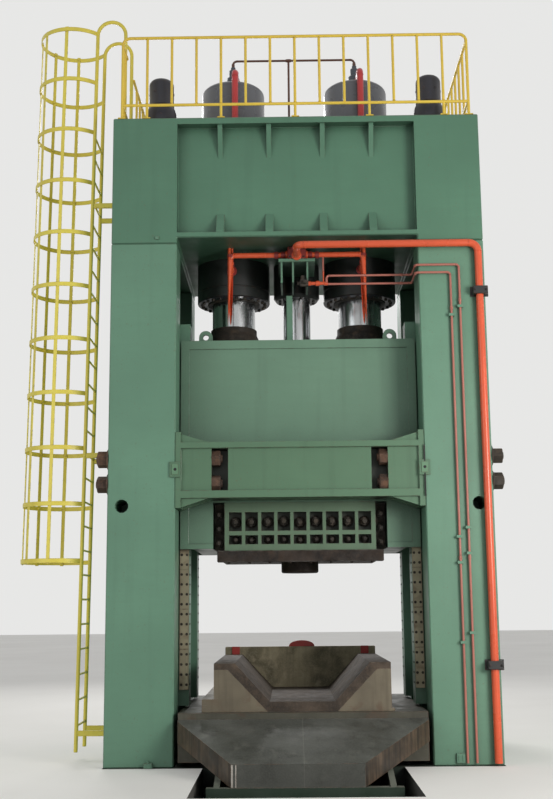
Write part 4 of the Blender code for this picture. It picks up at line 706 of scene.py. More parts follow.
def dress_rod(side):
    """Chromed rod with its piston, and its collar with a ring of screws."""
    x, y, low, high, piston = round_node("main_rod_" + side)
    neck = high - PISTON_DROP
    profile = [(0.0, low), (ROD_RADIUS, low), (ROD_RADIUS, neck), (piston, neck), (piston, high), (0.0, high)]
    bm = lathe(profile, plumb(x, y), LARGE)
    piece("chrome_rod_" + side, bm, "rod_chrome", "main_rod_" + side, body=MOVING)
    low, high = (corner.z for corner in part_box("rod_collar_" + side))
    bore = ROD_RADIUS + BORE_RUN / 2
    shoulder = low + COLLAR_SHOULDER
    profile = [(bore, low), (COLLAR_RADIUS, low), (COLLAR_RADIUS, shoulder - 0.02)]
    profile += [(COLLAR_RADIUS - 0.004, shoulder), (COLLAR_NECK + 0.004, shoulder + 0.035)]
    profile += [(COLLAR_NECK, shoulder + 0.05), (COLLAR_NECK, high - 0.006), (COLLAR_NECK - 0.006, high)]
    profile += [(bore, high)]
    bm = lathe(profile, plumb(x, y), LARGE)
    for spot, way in side_places(x, y, low + COLLAR_SHOULDER * 0.5, COLLAR_RADIUS - 0.002, 12, 0.5):
        hex_head(bm, spot, way, 0.018, washer=False)
    piece("collar_" + side, bm, "collar_brown", "rod_collar_" + side, body=MOVING)


def dress_centre():
    """Centre cylinder, its rod with the foot on the slide, and its cap on the crown."""
    rod = round_node("centre_rod")[4]
    x, y, low, high, radius = round_node("centre_cylinder")
    bore = rod + BORE_RUN
    profile = lifted(low, (bore, 0.0), (radius - 0.03, 0.0), (radius, 0.04))
    profile += [(radius, CROWN_UNDER), (CENTRE_BODY, CROWN_UNDER), (CENTRE_BODY, high), (bore, high)]
    bm = lathe(profile, plumb(x, y), MIDDLE)
    for spot in bolt_circle(0.0, 0.0, low, *CENTRE_SCREWS):
        socket_head(bm, spot, DOWN, 0.018)
    piece("centre_cylinder_body", bm, "cylinder_black", "centre_cylinder")
    x, y, low, high, _ = round_node("centre_rod")
    profile = [(0.0, low), (rod, low), (rod, high - 0.02), (rod - 0.02, high), (0.0, high)]
    piece("centre_chrome_rod", lathe(profile, plumb(x, y), MIDDLE), "rod_chrome", "centre_rod", body=MOVING)
    x, y, low, high, radius = round_node("centre_foot")
    bore = rod + BORE_RUN / 2
    profile = lifted(low, (bore, 0.0), (radius, 0.0), (radius, 0.034), (radius - 0.006, 0.04))
    profile += [(bore + 0.034, low + 0.06), (bore + 0.03, high), (bore, high)]
    bm = lathe(profile, plumb(x, y), MIDDLE)
    for spot in bolt_circle(0.0, 0.0, low + 0.04, *FOOT_BOLTS):
        hex_head(bm, spot, UP, 0.016)
    piece("centre_foot_ring", bm, "collar_brown", "centre_foot", body=MOVING)
    x, y, low, high, radius = round_node("centre_cap")
    profile = lifted(low, (0.0, 0.0), (radius, 0.0), (radius, 0.05), (radius - 0.03, 0.06))
    profile += [(radius - 0.03, high - 0.03), (radius - 0.06, high), (0.0, high)]
    bm = lathe(softened(profile, 0.004), plumb(x, y), MIDDLE)
    for spot in bolt_circle(0.0, 0.0, low + 0.048, *CAP_BOLTS):
        hex_head(bm, spot, UP, 0.011, washer=False)
    piece("centre_cap_body", bm, "head_blue", "centre_cap")


def dress_head(side):
    """Cylinder head with its domed shoulder and flange bolts, and the prefill valve on it."""
    x, y, low, _, _ = round_node("cylinder_head_" + side)
    shoulder = CROWN_TOP + HEAD_SHOULDER
    top = shoulder + HEAD_DOME
    deck = low + HEAD_FLANGE_TALL
    rim = HEAD_RADIUS - 0.004
    profile = [(0.0, low), (HEAD_FLANGE, low), (HEAD_FLANGE, deck - 0.006), (HEAD_FLANGE - 0.005, deck)]
    profile += [(HEAD_RADIUS, deck + 0.004), (HEAD_RADIUS, shoulder - 0.012), (rim, shoulder - 0.006)]
    profile += dome(rim, HEAD_TOP, shoulder, HEAD_DOME, 12) + [(0.0, top)]
    bm = lathe(profile, plumb(x, y), LARGE)
    for spot in bolt_circle(x, y, deck - 0.002, *HEAD_BOLTS):
        hex_head(bm, spot, UP, 0.005, washer=False)
    piece("head_" + side, bm, "head_blue", "cylinder_head_" + side)
    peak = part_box("prefill_valve_" + side)[1].z
    profile = lifted(top, (0.0, -0.004), (0.115, -0.004), (0.115, 0.024), (VALVE_RADIUS, 0.030))
    profile += lifted(top, (VALVE_RADIUS, 0.150), (VALVE_RADIUS - 0.010, 0.162), (0.052, 0.168))
    profile += lifted(peak, (0.052, -0.050), (0.044, -0.042), (0.030, -0.038), (0.030, -0.004), (0.0, 0.0))
    bm = lathe(profile, plumb(x, y), SMALL)
    for spot in bolt_circle(x, y, top + 0.024, *VALVE_BOLTS):
        hex_head(bm, spot, UP, 0.009, washer=False)
    piece("valve_" + side, bm, "valve_dark", "prefill_valve_" + side)


def dress_tie_rods():
    """Tie rods with their bases and domed nuts, which have dimples round their sides."""
    dimple = [(0.0, 0.0), (0.016, 0.0), (0.016, 0.006), (0.011, 0.008), (0.0, 0.002)]
    base = CROWN_TOP + BORE_RUN / 2
    shelf = base + TIE_BASE_TALL
    for place in ("front_left", "front_right", "rear_left", "rear_right"):
        x, y, low, high, _ = round_node("tie_rod_" + place, TIE_FACETS)
        profile = lifted(low, *cuff(0.0, TIE_FOOT, TIE_FOOT_TALL)[:3], (TIE_RADIUS, TIE_FOOT_TALL))
        profile += [(TIE_RADIUS, base), (TIE_BASE, base)]
        profile += lifted(shelf, (TIE_BASE, -0.10), (TIE_BASE - 0.012, -0.05), (TIE_BASE - 0.035, -0.008))
        profile += lifted(shelf, (TIE_NUT + 0.004, 0.0), (TIE_NUT, 0.006)) + [(TIE_NUT, high - TIE_CAP)]
        profile += dome(TIE_NUT, TIE_NUT * 0.45, high - TIE_CAP, TIE_CAP, 8, 1) + [(0.0, high)]
        bm = lathe(profile, plumb(x, y), SMALL)
        for spot, way in side_places(x, y, shelf + TIE_DIMPLE_LEVEL, TIE_NUT - 0.004, 6):
            turned(bm, dimple, aim(spot, way), 16)
        piece("tie_nut_" + place, bm, "nut_black", "tie_rod_" + place)


# Pipes

MAIN_PIPE_RADIUS = 0.0425
BRANCH_RADIUS = 0.032
DRAIN_RADIUS = 0.013
RISER_RADIUS = 0.04
BALANCE_RADIUS = 0.014
BRANCH_DROP = 0.080
FLANGE_THICK = 0.022
DRAIN_START_X = 0.345
DRAIN_JOINT_Z = 6.505
DRAIN_TURN_X = 1.345
RISER_RISE = 0.045
BALANCE_DROP_X = -0.067


def pipe_run(name, node, corners, elbow, radius, slot, flanges=(), unions=(), finish=None):
    """A smooth pipe with weld rings at its elbows, flanges and hexagon unions where it is joined."""
    bm = bmesh.new()
    tube(bm, rounded_route(corners, elbow), radius, 20)
    inner = radius - 0.002
    outer = radius + 0.0035
    ring = [(inner, -0.004), (outer, -0.002), (outer, 0.002), (inner, 0.004)]
    for before, corner, after, bend in zip(corners, corners[1:], corners[2:], elbow_radii(corners, elbow)):
        corner = Vector(corner)
        for other in (before, after):
            way = (Vector(other) - corner).normalized()
            turned(bm, ring, aim(corner + way * bend, way), 20)
    for at, way, size in flanges:
        plate = [(0.0, 0.0), (size, 0.0), (size, FLANGE_THICK), (radius + 0.006, FLANGE_THICK)]
        plate += [(radius, 0.034), (0.0, 0.034)]
        turned(bm, softened(plate, 0.003), aim(at, way), 32)
        for spot in bolt_circle(0.0, 0.0, FLANGE_THICK, (size + radius) / 2, 4, 0.5):
            hex_head(bm, aim(at, way) @ Vector(spot), way, (size - radius) * 0.26, washer=False)
    for at, way, size in unions:
        nut = [(0.0, -size), (size * 0.9, -size), (size, -size * 0.85)]
        nut += [(across, -height) for across, height in nut[::-1]]
        turned(bm, nut, aim(at, way), 6, rng.random())
        collar = [(0.0, -size * 1.5), (size * 0.8, -size * 1.5), (size * 0.8, size * 1.5), (0.0, size * 1.5)]
        turned(bm, collar, aim(at, way), 16)
    piece(name, bm, slot, node, finish=finish)


def dress_main_pipe():
    """Feed pipe up the right front pillar and across to the manifold."""
    low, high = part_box("main_pipe")
    lane = low.y + MAIN_PIPE_RADIUS
    x = high.x - MAIN_PIPE_RADIUS
    level = high.z - MAIN_PIPE_RADIUS
    start = low.x + MAIN_PIPE_RADIUS
    corners = [(start, high.y, level), (start, lane, level), (x, lane, level), (x, lane, low.z)]
    flanges = [(corners[0], FORWARD, 0.058)]
    pipe_run("main_line", "main_pipe", corners, (0.075, 0.105), MAIN_PIPE_RADIUS, "pipe_orange", flanges)


def dress_branch(side, sign):
    """Branch pipe from the manifold to a main cylinder, with its couplings."""
    low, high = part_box("branch_pipe_" + side)
    across = (sign, 0, 0)
    level = (low.z + high.z) / 2
    lane = low.y + BRANCH_RADIUS * OCTAGON
    near, far = (low.x, high.x) if sign > 0 else (high.x, low.x)
    far -= sign * BRANCH_RADIUS * OCTAGON
    mouth = level - BRANCH_DROP
    corners = [(near, lane, level), (far, lane, level), (far, lane, mouth), (far, high.y, mouth)]
    pipe_run("branch_line_" + side, "branch_pipe_" + side, corners, 0.052, BRANCH_RADIUS, "pipe_red",
             [(corners[0], across, 0.050)], finish=M["pipe_orange"])
    bm = bmesh.new()
    nut = [(BRANCH_RADIUS, 0.0), (0.044, 0.0), (0.046, 0.006)]
    nut += [(radius, 0.040 - height) for radius, height in nut[::-1]]
    turned(bm, nut, aim((far, lane + 0.055, mouth), BACKWARD), 6, 0.5)
    seat = [(0.0, 0.0), (0.056, 0.0), (0.060, 0.004), (0.060, 0.026), (0.0, 0.026)]
    turned(bm, seat, aim((far, high.y, mouth), FORWARD), 32)
    turned(bm, cuff(BRANCH_RADIUS - 0.002, 0.041, 0.030), aim((far, lane, mouth + 0.058), UP), 24)
    for reach in (0.03, 0.11):
        spot = (near + sign * reach, lane, level)
        turned(bm, cuff(BRANCH_RADIUS - 0.002, 0.043, 0.045), aim(spot, across), 24)
    piece("branch_couplings_" + side, bm, "pipe_red", finish=FITTING_RED)


def dress_riser(side):
    """Riser pipe from the crown to a prefill valve."""
    low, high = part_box("riser_pipe_" + side)
    x = (low.x + high.x) / 2
    lane = low.y + RISER_RADIUS * OCTAGON
    level = CROWN_TOP + HEAD_SHOULDER + HEAD_DOME + RISER_RISE
    valve_face = -VALVE_RADIUS + 0.012
    corners = [(x, lane, low.z), (x, lane, level), (x, valve_face, level)]
    flanges = [(corners[0], UP, 0.078), ((x, valve_face - 0.03, level), FORWARD, 0.056)]
    pipe_run("riser_line_" + side, "riser_pipe_" + side, corners, 0.07, RISER_RADIUS, "pipe_red", flanges)


def dress_drains():
    """The two thin drain pipes with their unions."""
    inset = DRAIN_RADIUS * OCTAGON
    for name in ("outer", "inner"):
        low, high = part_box("drain_pipe_" + name)
        x = high.x - inset
        lane = low.y + inset
        level = high.z - inset
        back = high.y - inset
        corners = [(DRAIN_START_X, back, level), (DRAIN_TURN_X, back, level), (DRAIN_TURN_X, lane, level)]
        if name == "outer":
            corners.insert(0, (DRAIN_START_X, back, DRAIN_JOINT_Z))
        corners += [(x, lane, level), (x, lane, low.z)]
        joints = [((DRAIN_TURN_X - 0.12, back, level), (1, 0, 0), 0.018)]
        joints += [((x, lane, level - 0.42), UP, 0.018), ((x, lane, low.z + 2.15), UP, 0.018)]
        pipe_run("drain_line_" + name, "drain_pipe_" + name, corners, 0.034, DRAIN_RADIUS, "pipe_pink",
                 unions=joints)


def dress_balance_pipe():
    """Pipe between the two prefill valves, with its drop to the centre cap."""
    low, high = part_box("balance_pipe")
    left = low.x + BALANCE_RADIUS * OCTAGON
    level = high.z - BALANCE_RADIUS * OCTAGON
    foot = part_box("prefill_valve_left")[1].z
    corners = [(left, 0.0, foot), (left, 0.0, level), (-left, 0.0, level), (-left, 0.0, foot)]
    tee = (BALANCE_DROP_X, 0.0, level)
    unions = [(tee, (1, 0, 0), 0.024)]
    unions += [((x, 0.0, foot + 0.02), UP, 0.022) for x in (left, -left)]
    pipe_run("balance_line", "balance_pipe", corners, 0.05, BALANCE_RADIUS, "pipe_brown", unions=unions)
    bm = bmesh.new()
    tube(bm, [tee, (BALANCE_DROP_X, 0.0, low.z)], BALANCE_RADIUS, 16)
    hex_head(bm, (BALANCE_DROP_X, 0.0, low.z), UP, 0.028, washer=False)
    piece("balance_drop", bm, "pipe_brown")


def dress_clamps():
    """Foot plates and bolts of the main pipe's clamps, and the screws and plug of the manifold."""
    bm = bmesh.new()
    for name in ("lower", "upper"):
        low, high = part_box("pipe_clamp_" + name)
        middle = (low + high) / 2
        for sign in BOTH:
            hex_head(bm, (middle.x + sign * 0.064, low.y, middle.z), FORWARD, 0.013, stud=0.012)
        near = (low.x - 0.02, high.y - 0.012, low.z - 0.012)
        block(bm, near, (high.x + 0.02, high.y, high.z + 0.012), 0.003)
    piece("clamp_bolts", bm, "clamp_black")
    bm = bmesh.new()
    low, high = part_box("manifold")
    middle = (low + high) / 2
    for sign in BOTH:
        for level in BOTH:
            socket_head(bm, (middle.x + sign * 0.082, low.y, middle.z + level * 0.05), FORWARD, 0.011)
    hex_head(bm, (0.0, middle.y, high.z), UP, 0.026)
    piece("block_fittings", bm, "pipe_orange", finish=DARK_NUT)


def dress_drain_joint():
    """Turned fitting where the outer drain pipe starts, its pilot tube and the small valve beside it."""
    low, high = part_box("drain_block")
    lane = (low.y + high.y) / 2 - 0.02
    pilot_low, pilot_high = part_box("pilot_pipe")
    pilot = (pilot_low + pilot_high) / 2
    foot = pilot_low.z + 0.03
    body = [(0.0, 0.0), (0.026, 0.0), (0.026, 0.030), (0.020, 0.034), (0.020, 0.086), (0.030, 0.090)]
    body += [(0.030, 0.132), (0.020, 0.136), (0.020, 0.186), (0.026, 0.190), (0.026, 0.228), (0.0, 0.228)]
    bm = lathe(body, aim((DRAIN_START_X - 0.214, lane, DRAIN_JOINT_Z), (1, 0, 0)), 24)
    tube(bm, [(pilot.x, lane, DRAIN_JOINT_Z), (pilot.x, lane, foot)], 0.0085, 12)
    tube(bm, [(pilot.x, lane, foot), (pilot.x, pilot.y, foot)], 0.011, 12)
    piece("drain_joint", bm, "pipe_orange", "drain_block")
    bm = bmesh.new()
    x = DRAIN_START_X - 0.225
    z = DRAIN_JOINT_Z
    block(bm, (x - 0.085, lane - 0.036, z - 0.032), (x + 0.012, lane + 0.030, z + 0.038), 0.006)
    hex_head(bm, (x - 0.085, lane, z + 0.004), (-1, 0, 0), 0.022, tall=0.03)
    coil = stub(0.0, 0.060, 0.024, 0.018, 0.008)
    turned(bm, coil, aim((x - 0.055, lane, z + 0.036), UP), 20)
    turned(bm, coil, aim((x - 0.030, lane - 0.034, z), FORWARD), 20)
    hex_head(bm, (x - 0.030, lane - 0.094, z), FORWARD, 0.016)
    piece("pilot_valve", bm, "pipe_orange", finish=DARK_NUT)


# Railing, ladder and cage

TUBE = 0.018
BALUSTER = 0.016
RAIL_CORNER = 0.09
RAIL_LOW = 0.18
RAIL_LOW_RADIUS = TUBE * 0.97
FRONT_BAYS = 14
SIDE_BAYS = 8
FOOT_EVERY = 3
FOOT_HALF = 0.045
FOOT_TALL = 0.012


def foot_plate(bm, x, y, level):
    """Base plate of a post with its two anchor bolts and the weld round the tube."""
    block(bm, (x - FOOT_HALF, y - FOOT_HALF, level), (x + FOOT_HALF, y + FOOT_HALF, level + FOOT_TALL), 0.002)
    for sign in BOTH:
        hex_head(bm, (x + sign * 0.031, y + sign * 0.028, level + FOOT_TALL), UP, 0.008)
    ring = [(0.014, 0.0), (0.022, 0.0), (0.0165, 0.006), (0.014, 0.006)]
    turned(bm, ring, plumb(x, y, level + FOOT_TALL), 14)


def weld_ring(bm, at, way, radius):
    """Small fillet where a bar meets a rail."""
    ring = [(radius - 0.001, 0.0), (radius + 0.005, 0.0), (radius + 0.001, 0.006), (radius - 0.001, 0.006)]
    turned(bm, ring, aim(at, way), 12)


def balusters(bm, spots, low, top, sole):
    """Upright bars at each (x, y), each standing on its own foot where its third value says so."""
    for x, y, stands in spots:
        tube(bm, [(x, y, sole if stands else low), (x, y, top)], BALUSTER, 14)
        weld_ring(bm, (x, y, top - TUBE), DOWN, BALUSTER)
        weld_ring(bm, (x, y, low + TUBE), UP, BALUSTER)
        if stands:
            foot_plate(bm, x, y, sole)


def dress_railing():
    """Railing sections round the crown, with the gateway at the ladder left free."""
    low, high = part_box("railing_front")
    sole = low.z
    top = high.z - TUBE * OCTAGON
    rail = CROWN_TOP + RAIL_LOW
    half = high.x - TUBE * OCTAGON
    for end in ("front", "rear"):
        low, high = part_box("railing_" + end)
        y = (low.y + high.y) / 2
        bm = bmesh.new()
        corners = [(-half, y, sole), (-half, y, top), (half, y, top), (half, y, sole)]
        tube(bm, rounded_route(corners, RAIL_CORNER), TUBE, 16)
        tube(bm, [(-half, y, rail), (half, y, rail)], RAIL_LOW_RADIUS, 16)
        pitch = 2 * half / FRONT_BAYS
        spots = [(-half + number * pitch, y, number % FOOT_EVERY == 1) for number in range(1, FRONT_BAYS)]
        balusters(bm, spots, rail, top, sole)
        for x in (-half, half):
            foot_plate(bm, x, y, sole)
        piece("rail_" + end, bm, "railing_yellow", "railing_" + end)
    pitch = (low.y + high.y) / SIDE_BAYS
    top -= RAIL_CORNER
    for name in ("right", "left", "left_front"):
        low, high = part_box("railing_" + name)
        x = (low.x + high.x) / 2
        bm = bmesh.new()
        span = high.y - low.y
        tube(bm, [(x, low.y, top), (x, high.y, top)], TUBE, 16)
        tube(bm, [(x, low.y, rail), (x, high.y, rail)], RAIL_LOW_RADIUS, 16)
        count = max(1, round(span / pitch) - 1)
        places = [low.y + (number + 1) * span / (count + 1) for number in range(count)]
        spots = [(x, y, number % FOOT_EVERY == 0) for number, y in enumerate(places)]
        balusters(bm, spots, rail, top, sole)
        piece("rail_" + name, bm, "railing_yellow", "railing_" + name)


STILE_RADIUS = 0.022
STILE_X = -2.42
STILE_LANDING_X = -2.06
STILE_TURNS = 18
RUNG_RADIUS = 0.012
RUNG_FIRST = 0.40
RUNG_PITCH = 0.275
RUNG_COUNT = 26
WALL_BRACKETS = (0.32, 3.40, 6.40)
HOOP_RADIUS = 0.423
HOOP_COUNT = 11
HOOP_PITCH = 0.64
HOOP_TALL = 0.05
HOOP_THICK = 0.008
HOOP_TURNS = 36
BAR_WIDTH = 0.04
BAR_THICK = 0.008
BAR_TURN = math.radians(42.5)
BAR_SPAN = 2
LEAN = 0.01136
UPRIGHT_AT = 8.05


def lean(z):
    """How far the ladder and its cage lean to the left at a height, as a negative shift in X."""
    return LEAN * (z - UPRIGHT_AT)


def strap(bm, plan, low, tall, thick):
    """A flat bar bent along a plan path, its outer face on the path."""
    rows = []
    for number, point in enumerate(plan):
        before = plan[max(number - 1, 0)]
        after = plan[min(number + 1, len(plan) - 1)]
        along = (after - before).normalized()
        inner = point + Vector((along.y, -along.x)) * thick
        row = [(point, low), (point, low + tall), (inner, low + tall), (inner, low)]
        rows.append([bm.verts.new((p.x, p.y, z)) for p, z in row])
    loft(bm, rows)


def dress_ladder():
    """Ladder with its gooseneck, rungs and wall brackets; returns the Y of its two stiles."""
    low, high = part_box("ladder")
    reach = STILE_RADIUS * OCTAGON
    lanes = (low.y + reach, high.y - reach)
    arc = (STILE_LANDING_X - STILE_X) / 2
    peak = high.z - reach
    bm = bmesh.new()
    for y in lanes:
        route = [Vector((STILE_X + lean(low.z), y, low.z))]
        for step in range(STILE_TURNS + 1):
            angle = math.pi * (1 - step / STILE_TURNS)
            z = peak - arc + arc * math.sin(angle)
            fade = lean(z) * (1 - step / STILE_TURNS)
            route.append(Vector((STILE_X + arc + arc * math.cos(angle) + fade, y, z)))
        route.append(Vector((STILE_LANDING_X, y, CROWN_TOP)))
        tube(bm, route, STILE_RADIUS, 16)
        for height in WALL_BRACKETS:
            z = FLOOR + height
            block(bm, (STILE_X + lean(z), y - 0.015, z - 0.03), (crown_low.x, y + 0.015, z + 0.03), 0.003)
            hex_head(bm, (crown_low.x - 0.06, y - 0.015, z), FORWARD, 0.011)
        turned(bm, cuff(0.0, 0.045, 0.010), plumb(STILE_LANDING_X, y, CROWN_TOP), 24)
    for number in range(RUNG_COUNT):
        z = FLOOR + RUNG_FIRST + number * RUNG_PITCH
        x = STILE_X + lean(z)
        tube(bm, [(x, lanes[0], z), (x, lanes[1], z)], RUNG_RADIUS, 12)
        weld_ring(bm, (x, lanes[0] + STILE_RADIUS, z), BACKWARD, RUNG_RADIUS)
        weld_ring(bm, (x, lanes[1] - STILE_RADIUS, z), FORWARD, RUNG_RADIUS)
    piece("ladder_tubes", bm, "ladder_yellow", "ladder")
    return lanes


def dress_cage(lanes):
    """Hoops round the ladder and the upright bars inside them, riveted at each crossing."""
    low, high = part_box("ladder_cage")
    middle = (lanes[0] + lanes[1]) / 2
    opening = math.asin((lanes[1] - lanes[0]) / 2 / HOOP_RADIUS)
    centre = STILE_X - HOOP_RADIUS * math.cos(opening)

    def spoke(radius, angle):
        """Plan point on a circle about the cage's axis."""
        return Vector((centre - radius * math.cos(angle), middle + radius * math.sin(angle)))

    turns = [(math.pi - opening) * (2 * step / HOOP_TURNS - 1) for step in range(HOOP_TURNS + 1)]
    levels = [low.z + 0.01 + number * HOOP_PITCH for number in range(HOOP_COUNT)]
    rivet = [(0.0, 0.0), (0.011, 0.0), (0.010, 0.004), (0.006, 0.007), (0.0, 0.008)]
    bm = bmesh.new()
    for z in levels:
        plan = [spoke(HOOP_RADIUS, turn) + Vector((lean(z), 0.0)) for turn in turns]
        strap(bm, plan, z, HOOP_TALL, HOOP_THICK)
    for number in range(-BAR_SPAN, BAR_SPAN + 1):
        angle = number * BAR_TURN
        outer = spoke(HOOP_RADIUS - HOOP_THICK, angle)
        inward = Vector((math.cos(angle), -math.sin(angle)))
        along = Vector((math.sin(angle), math.cos(angle))) * BAR_WIDTH / 2
        depth = inward * BAR_THICK
        spot = outer + depth
        shape = [outer - along, outer + along, outer + along + depth, outer - along + depth]
        loft(bm, [[bm.verts.new((p.x + lean(z), p.y, z)) for p in shape] for z in (low.z, high.z)])
        for level in levels:
            z = level + HOOP_TALL / 2
            turned(bm, rivet, aim((spot.x + lean(z), spot.y, z), (inward.x, inward.y, 0.0)), 10)
    piece("cage_hoops", bm, "ladder_yellow", "ladder_cage")


# Fasteners, welds and small fittings

HOLDER_PITCH = 0.184
HOLDER_COUNT = 9
HOLDER_ROWS = ((2.374, 2.476, 0.040), (2.525, 2.737, 0.054))
HOLDER_DEEP = 0.14
CHANNEL_X = 0.925
CHANNEL_HALF = 0.055
CHANNEL_DEEP = (0.16, 0.22)
CHANNEL_BOLTS = (0.09, 0.25, 0.41)
BEAM_WINDOW = (0.796, 0.98)
BEAM_ROD_DEEP = 0.11
BEAM_MIDDLE = 3.18
BEAM_RODS = (3.03, 3.31)
BEAM_INSIDE = (2.864 + 0.08, 3.485 - 0.065)
BEAM_END = 1.318
CROWN_PANEL = 1.378
CROWN_GUSSETS = (-0.884, -0.314, 0.314, 0.884)
KEY_X = 1.38
KEY_HALF = (0.038, 0.060)
SLIDE_EDGE = 1.268
EYE_X = 1.08
EYE_SIDES = (-0.7815, -0.7285)
PLATE_COUNT = 8
PLATE_ROWS = 4
PLATE_INNER = 1.27
DIE_POST_X = 0.82


def dress_holder():
    """Nuts on their studs in the two rows of windows, front and rear, and the bolts beside the holder."""
    bm = bmesh.new()
    for side in BOTH:
        for low, high, size in HOLDER_ROWS:
            for number in range(HOLDER_COUNT):
                x = (number - (HOLDER_COUNT - 1) / 2) * HOLDER_PITCH
                z = FLOOR + (low + high) / 2 + rng.uniform(-0.006, 0.006)
                spot = (x + rng.uniform(-0.004, 0.004), holder_high.y * side - side * HOLDER_DEEP, z)
                hex_head(bm, spot, (0, side, 0), size, tall=size * 0.95, stud=0.035 + 0.02 * rng.random())
    piece("holder_nuts", bm, "adapter_rust", body=MOVING, finish=DARK_NUT)
    bm = bmesh.new()
    for side in BOTH:
        for sign in BOTH:
            x = sign * CHANNEL_X
            shelf, back = (side * (holder_high.y - deep) for deep in CHANNEL_DEEP)
            for height in CHANNEL_BOLTS:
                hex_head(bm, (x, shelf, holder_low.z + height), (0, side, 0), 0.044, tall=0.05, stud=0.05)
            near = (x - CHANNEL_HALF, min(shelf, back), holder_low.z + 0.01)
            block(bm, near, (x + CHANNEL_HALF, max(shelf, back), holder_high.z - 0.004), 0.006)
    piece("channel_bolts", bm, "adapter_rust", body=MOVING, finish=DARK_NUT)


def dress_beams():
    """Hexagon nuts on the beam rods and beside the uprights, keys on the ends, and welds round the web."""
    inner, outer = BEAM_WINDOW
    middle = FLOOR + BEAM_MIDDLE
    tip = stub(0.0, 0.118, 0.046, 0.040, 0.006)
    for end, side in (("front", -1), ("rear", 1)):
        low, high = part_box(end + "_beam")
        rod_y = side * abs(FRONT) - side * BEAM_ROD_DEEP
        bm = bmesh.new()
        shaded = bmesh.new()
        for sign in BOTH:
            for z in [FLOOR + height for height in BEAM_RODS]:
                spot = (sign * outer, rod_y, z)
                hex_head(bm, spot, (-sign, 0, 0), 0.093, tall=0.098, washer=False)
                turned(bm, tip, aim(spot, (-sign, 0, 0)), 24)
                spot = (sign * abs(crown_low.x), rod_y, z)
                hex_head(bm if sign < 0 else shaded, spot, (sign, 0, 0), 0.094, tall=0.112, stud=0.012)
        piece("beam_nuts_" + end, bm, "adapter_rust", finish=RUST_NUT)
        piece("beam_nuts_right_" + end, shaded, "adapter_rust", finish=DARK_NUT)
        bm = bmesh.new()
        face = abs(low.y) if side < 0 else abs(high.y)
        wide, tall = KEY_HALF
        plate = sorted((side * (face - 0.004), side * (face + 0.008)))
        for x in (-KEY_X, KEY_X):
            block(bm, (x - wide, plate[0], middle - tall), (x + wide, plate[1], middle + tall), 0.003)
        piece("beam_keys_" + end, bm, "beam_green", finish=KEY_PALE)
        bm = bmesh.new()
        for x in (-KEY_X, KEY_X):
            turned(bm, cuff(0.0, 0.017, 0.0008), aim((x, side * (face + 0.0082), middle), (0, side, 0)), 20)
        plate = sorted((side * (face - 0.002), side * (face + 0.0012)))
        for foot, head in ((-0.32, -0.066), (0.066, 0.25)):
            block(bm, (1.372, plate[0], middle + foot), (1.388, plate[1], middle + head), 0.0)
        piece("key_slots_" + end, bm, "beam_green", finish=SLOT_BLACK)
        bm = bmesh.new()
        web = side * abs(FRONT) - side * 0.03
        for height in BEAM_INSIDE:
            for sign in BOTH:
                bead(bm, (sign * outer, sign * BEAM_END), web, FLOOR + height, 0.007)
            bead(bm, (-inner, inner), web, FLOOR + height, 0.007)
        for sign in BOTH:
            bead(bm, sign * (BEAM_END + 0.001), web, (FLOOR + 2.95, FLOOR + 3.41), 0.007)
        piece("beam_welds_" + end, bm, "beam_green")


def dress_crown():
    """Welds along the crown's flanges and gussets, and the small tabs on the uprights."""
    flange = CROWN_UNDER + 0.06
    lip = CROWN_TOP - 0.08
    bm = bmesh.new()
    for side in BOTH:
        web = side * (abs(FRONT) - 0.14)
        for level in (flange, lip):
            bead(bm, (-CROWN_PANEL, CROWN_PANEL), web, level, 0.008)
        for x in CROWN_GUSSETS:
            for sign in BOTH:
                bead(bm, x + sign * 0.045, web, (flange, flange + 0.24), 0.006)
                bead(bm, x + sign * 0.0275, web, (lip - 0.36, lip), 0.006)
        for sign in BOTH:
            bead(bm, sign * (CROWN_PANEL + 0.001), web, (flange, lip), 0.008)
    piece("crown_welds", bm, "crown_paint")
    bm = bmesh.new()
    seam = crown_low.z
    front = FRONT + 0.002
    block(bm, (-1.63, FRONT - 0.014, seam + 0.045), (-1.58, front, seam + 0.085), 0.004)
    block(bm, (-1.695, FRONT - 0.055, FLOOR + 0.001), (-1.60, front, FLOOR + 0.055), 0.004)
    hex_head(bm, (-1.648, FRONT - 0.028, FLOOR + 0.055), UP, 0.014)
    block(bm, (1.62, FRONT - 0.03, FLOOR + 0.03), (1.71, front, FLOOR + 0.13), 0.004)
    for x in (1.645, 1.685):
        block(bm, (x - 0.006, FRONT - 0.036, FLOOR + 0.05), (x + 0.006, FRONT - 0.028, FLOOR + 0.11), 0.002)
    piece("foot_tabs", bm, "column_paint")


def dress_slide():
    """Welds round the slide's front and rear panels and at the feet of its lifting eyes."""
    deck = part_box("main_rod_left")[0].z
    bm = bmesh.new()
    for side in BOTH:
        face = side * (slide_high.y - 0.012)
        for sign in BOTH:
            bead(bm, sign * (SLIDE_EDGE + 0.001), face, (slide_low.z + 0.056, deck - 0.10), 0.004)
        bead(bm, (-SLIDE_EDGE, SLIDE_EDGE), face, deck - 0.101, 0.004)
    for x in (-EYE_X, EYE_X):
        for y in EYE_SIDES:
            bead(bm, (x - 0.08, x + 0.08), y, deck + 0.001, 0.007)
    piece("slide_welds", bm, "slide_green", body=MOVING)


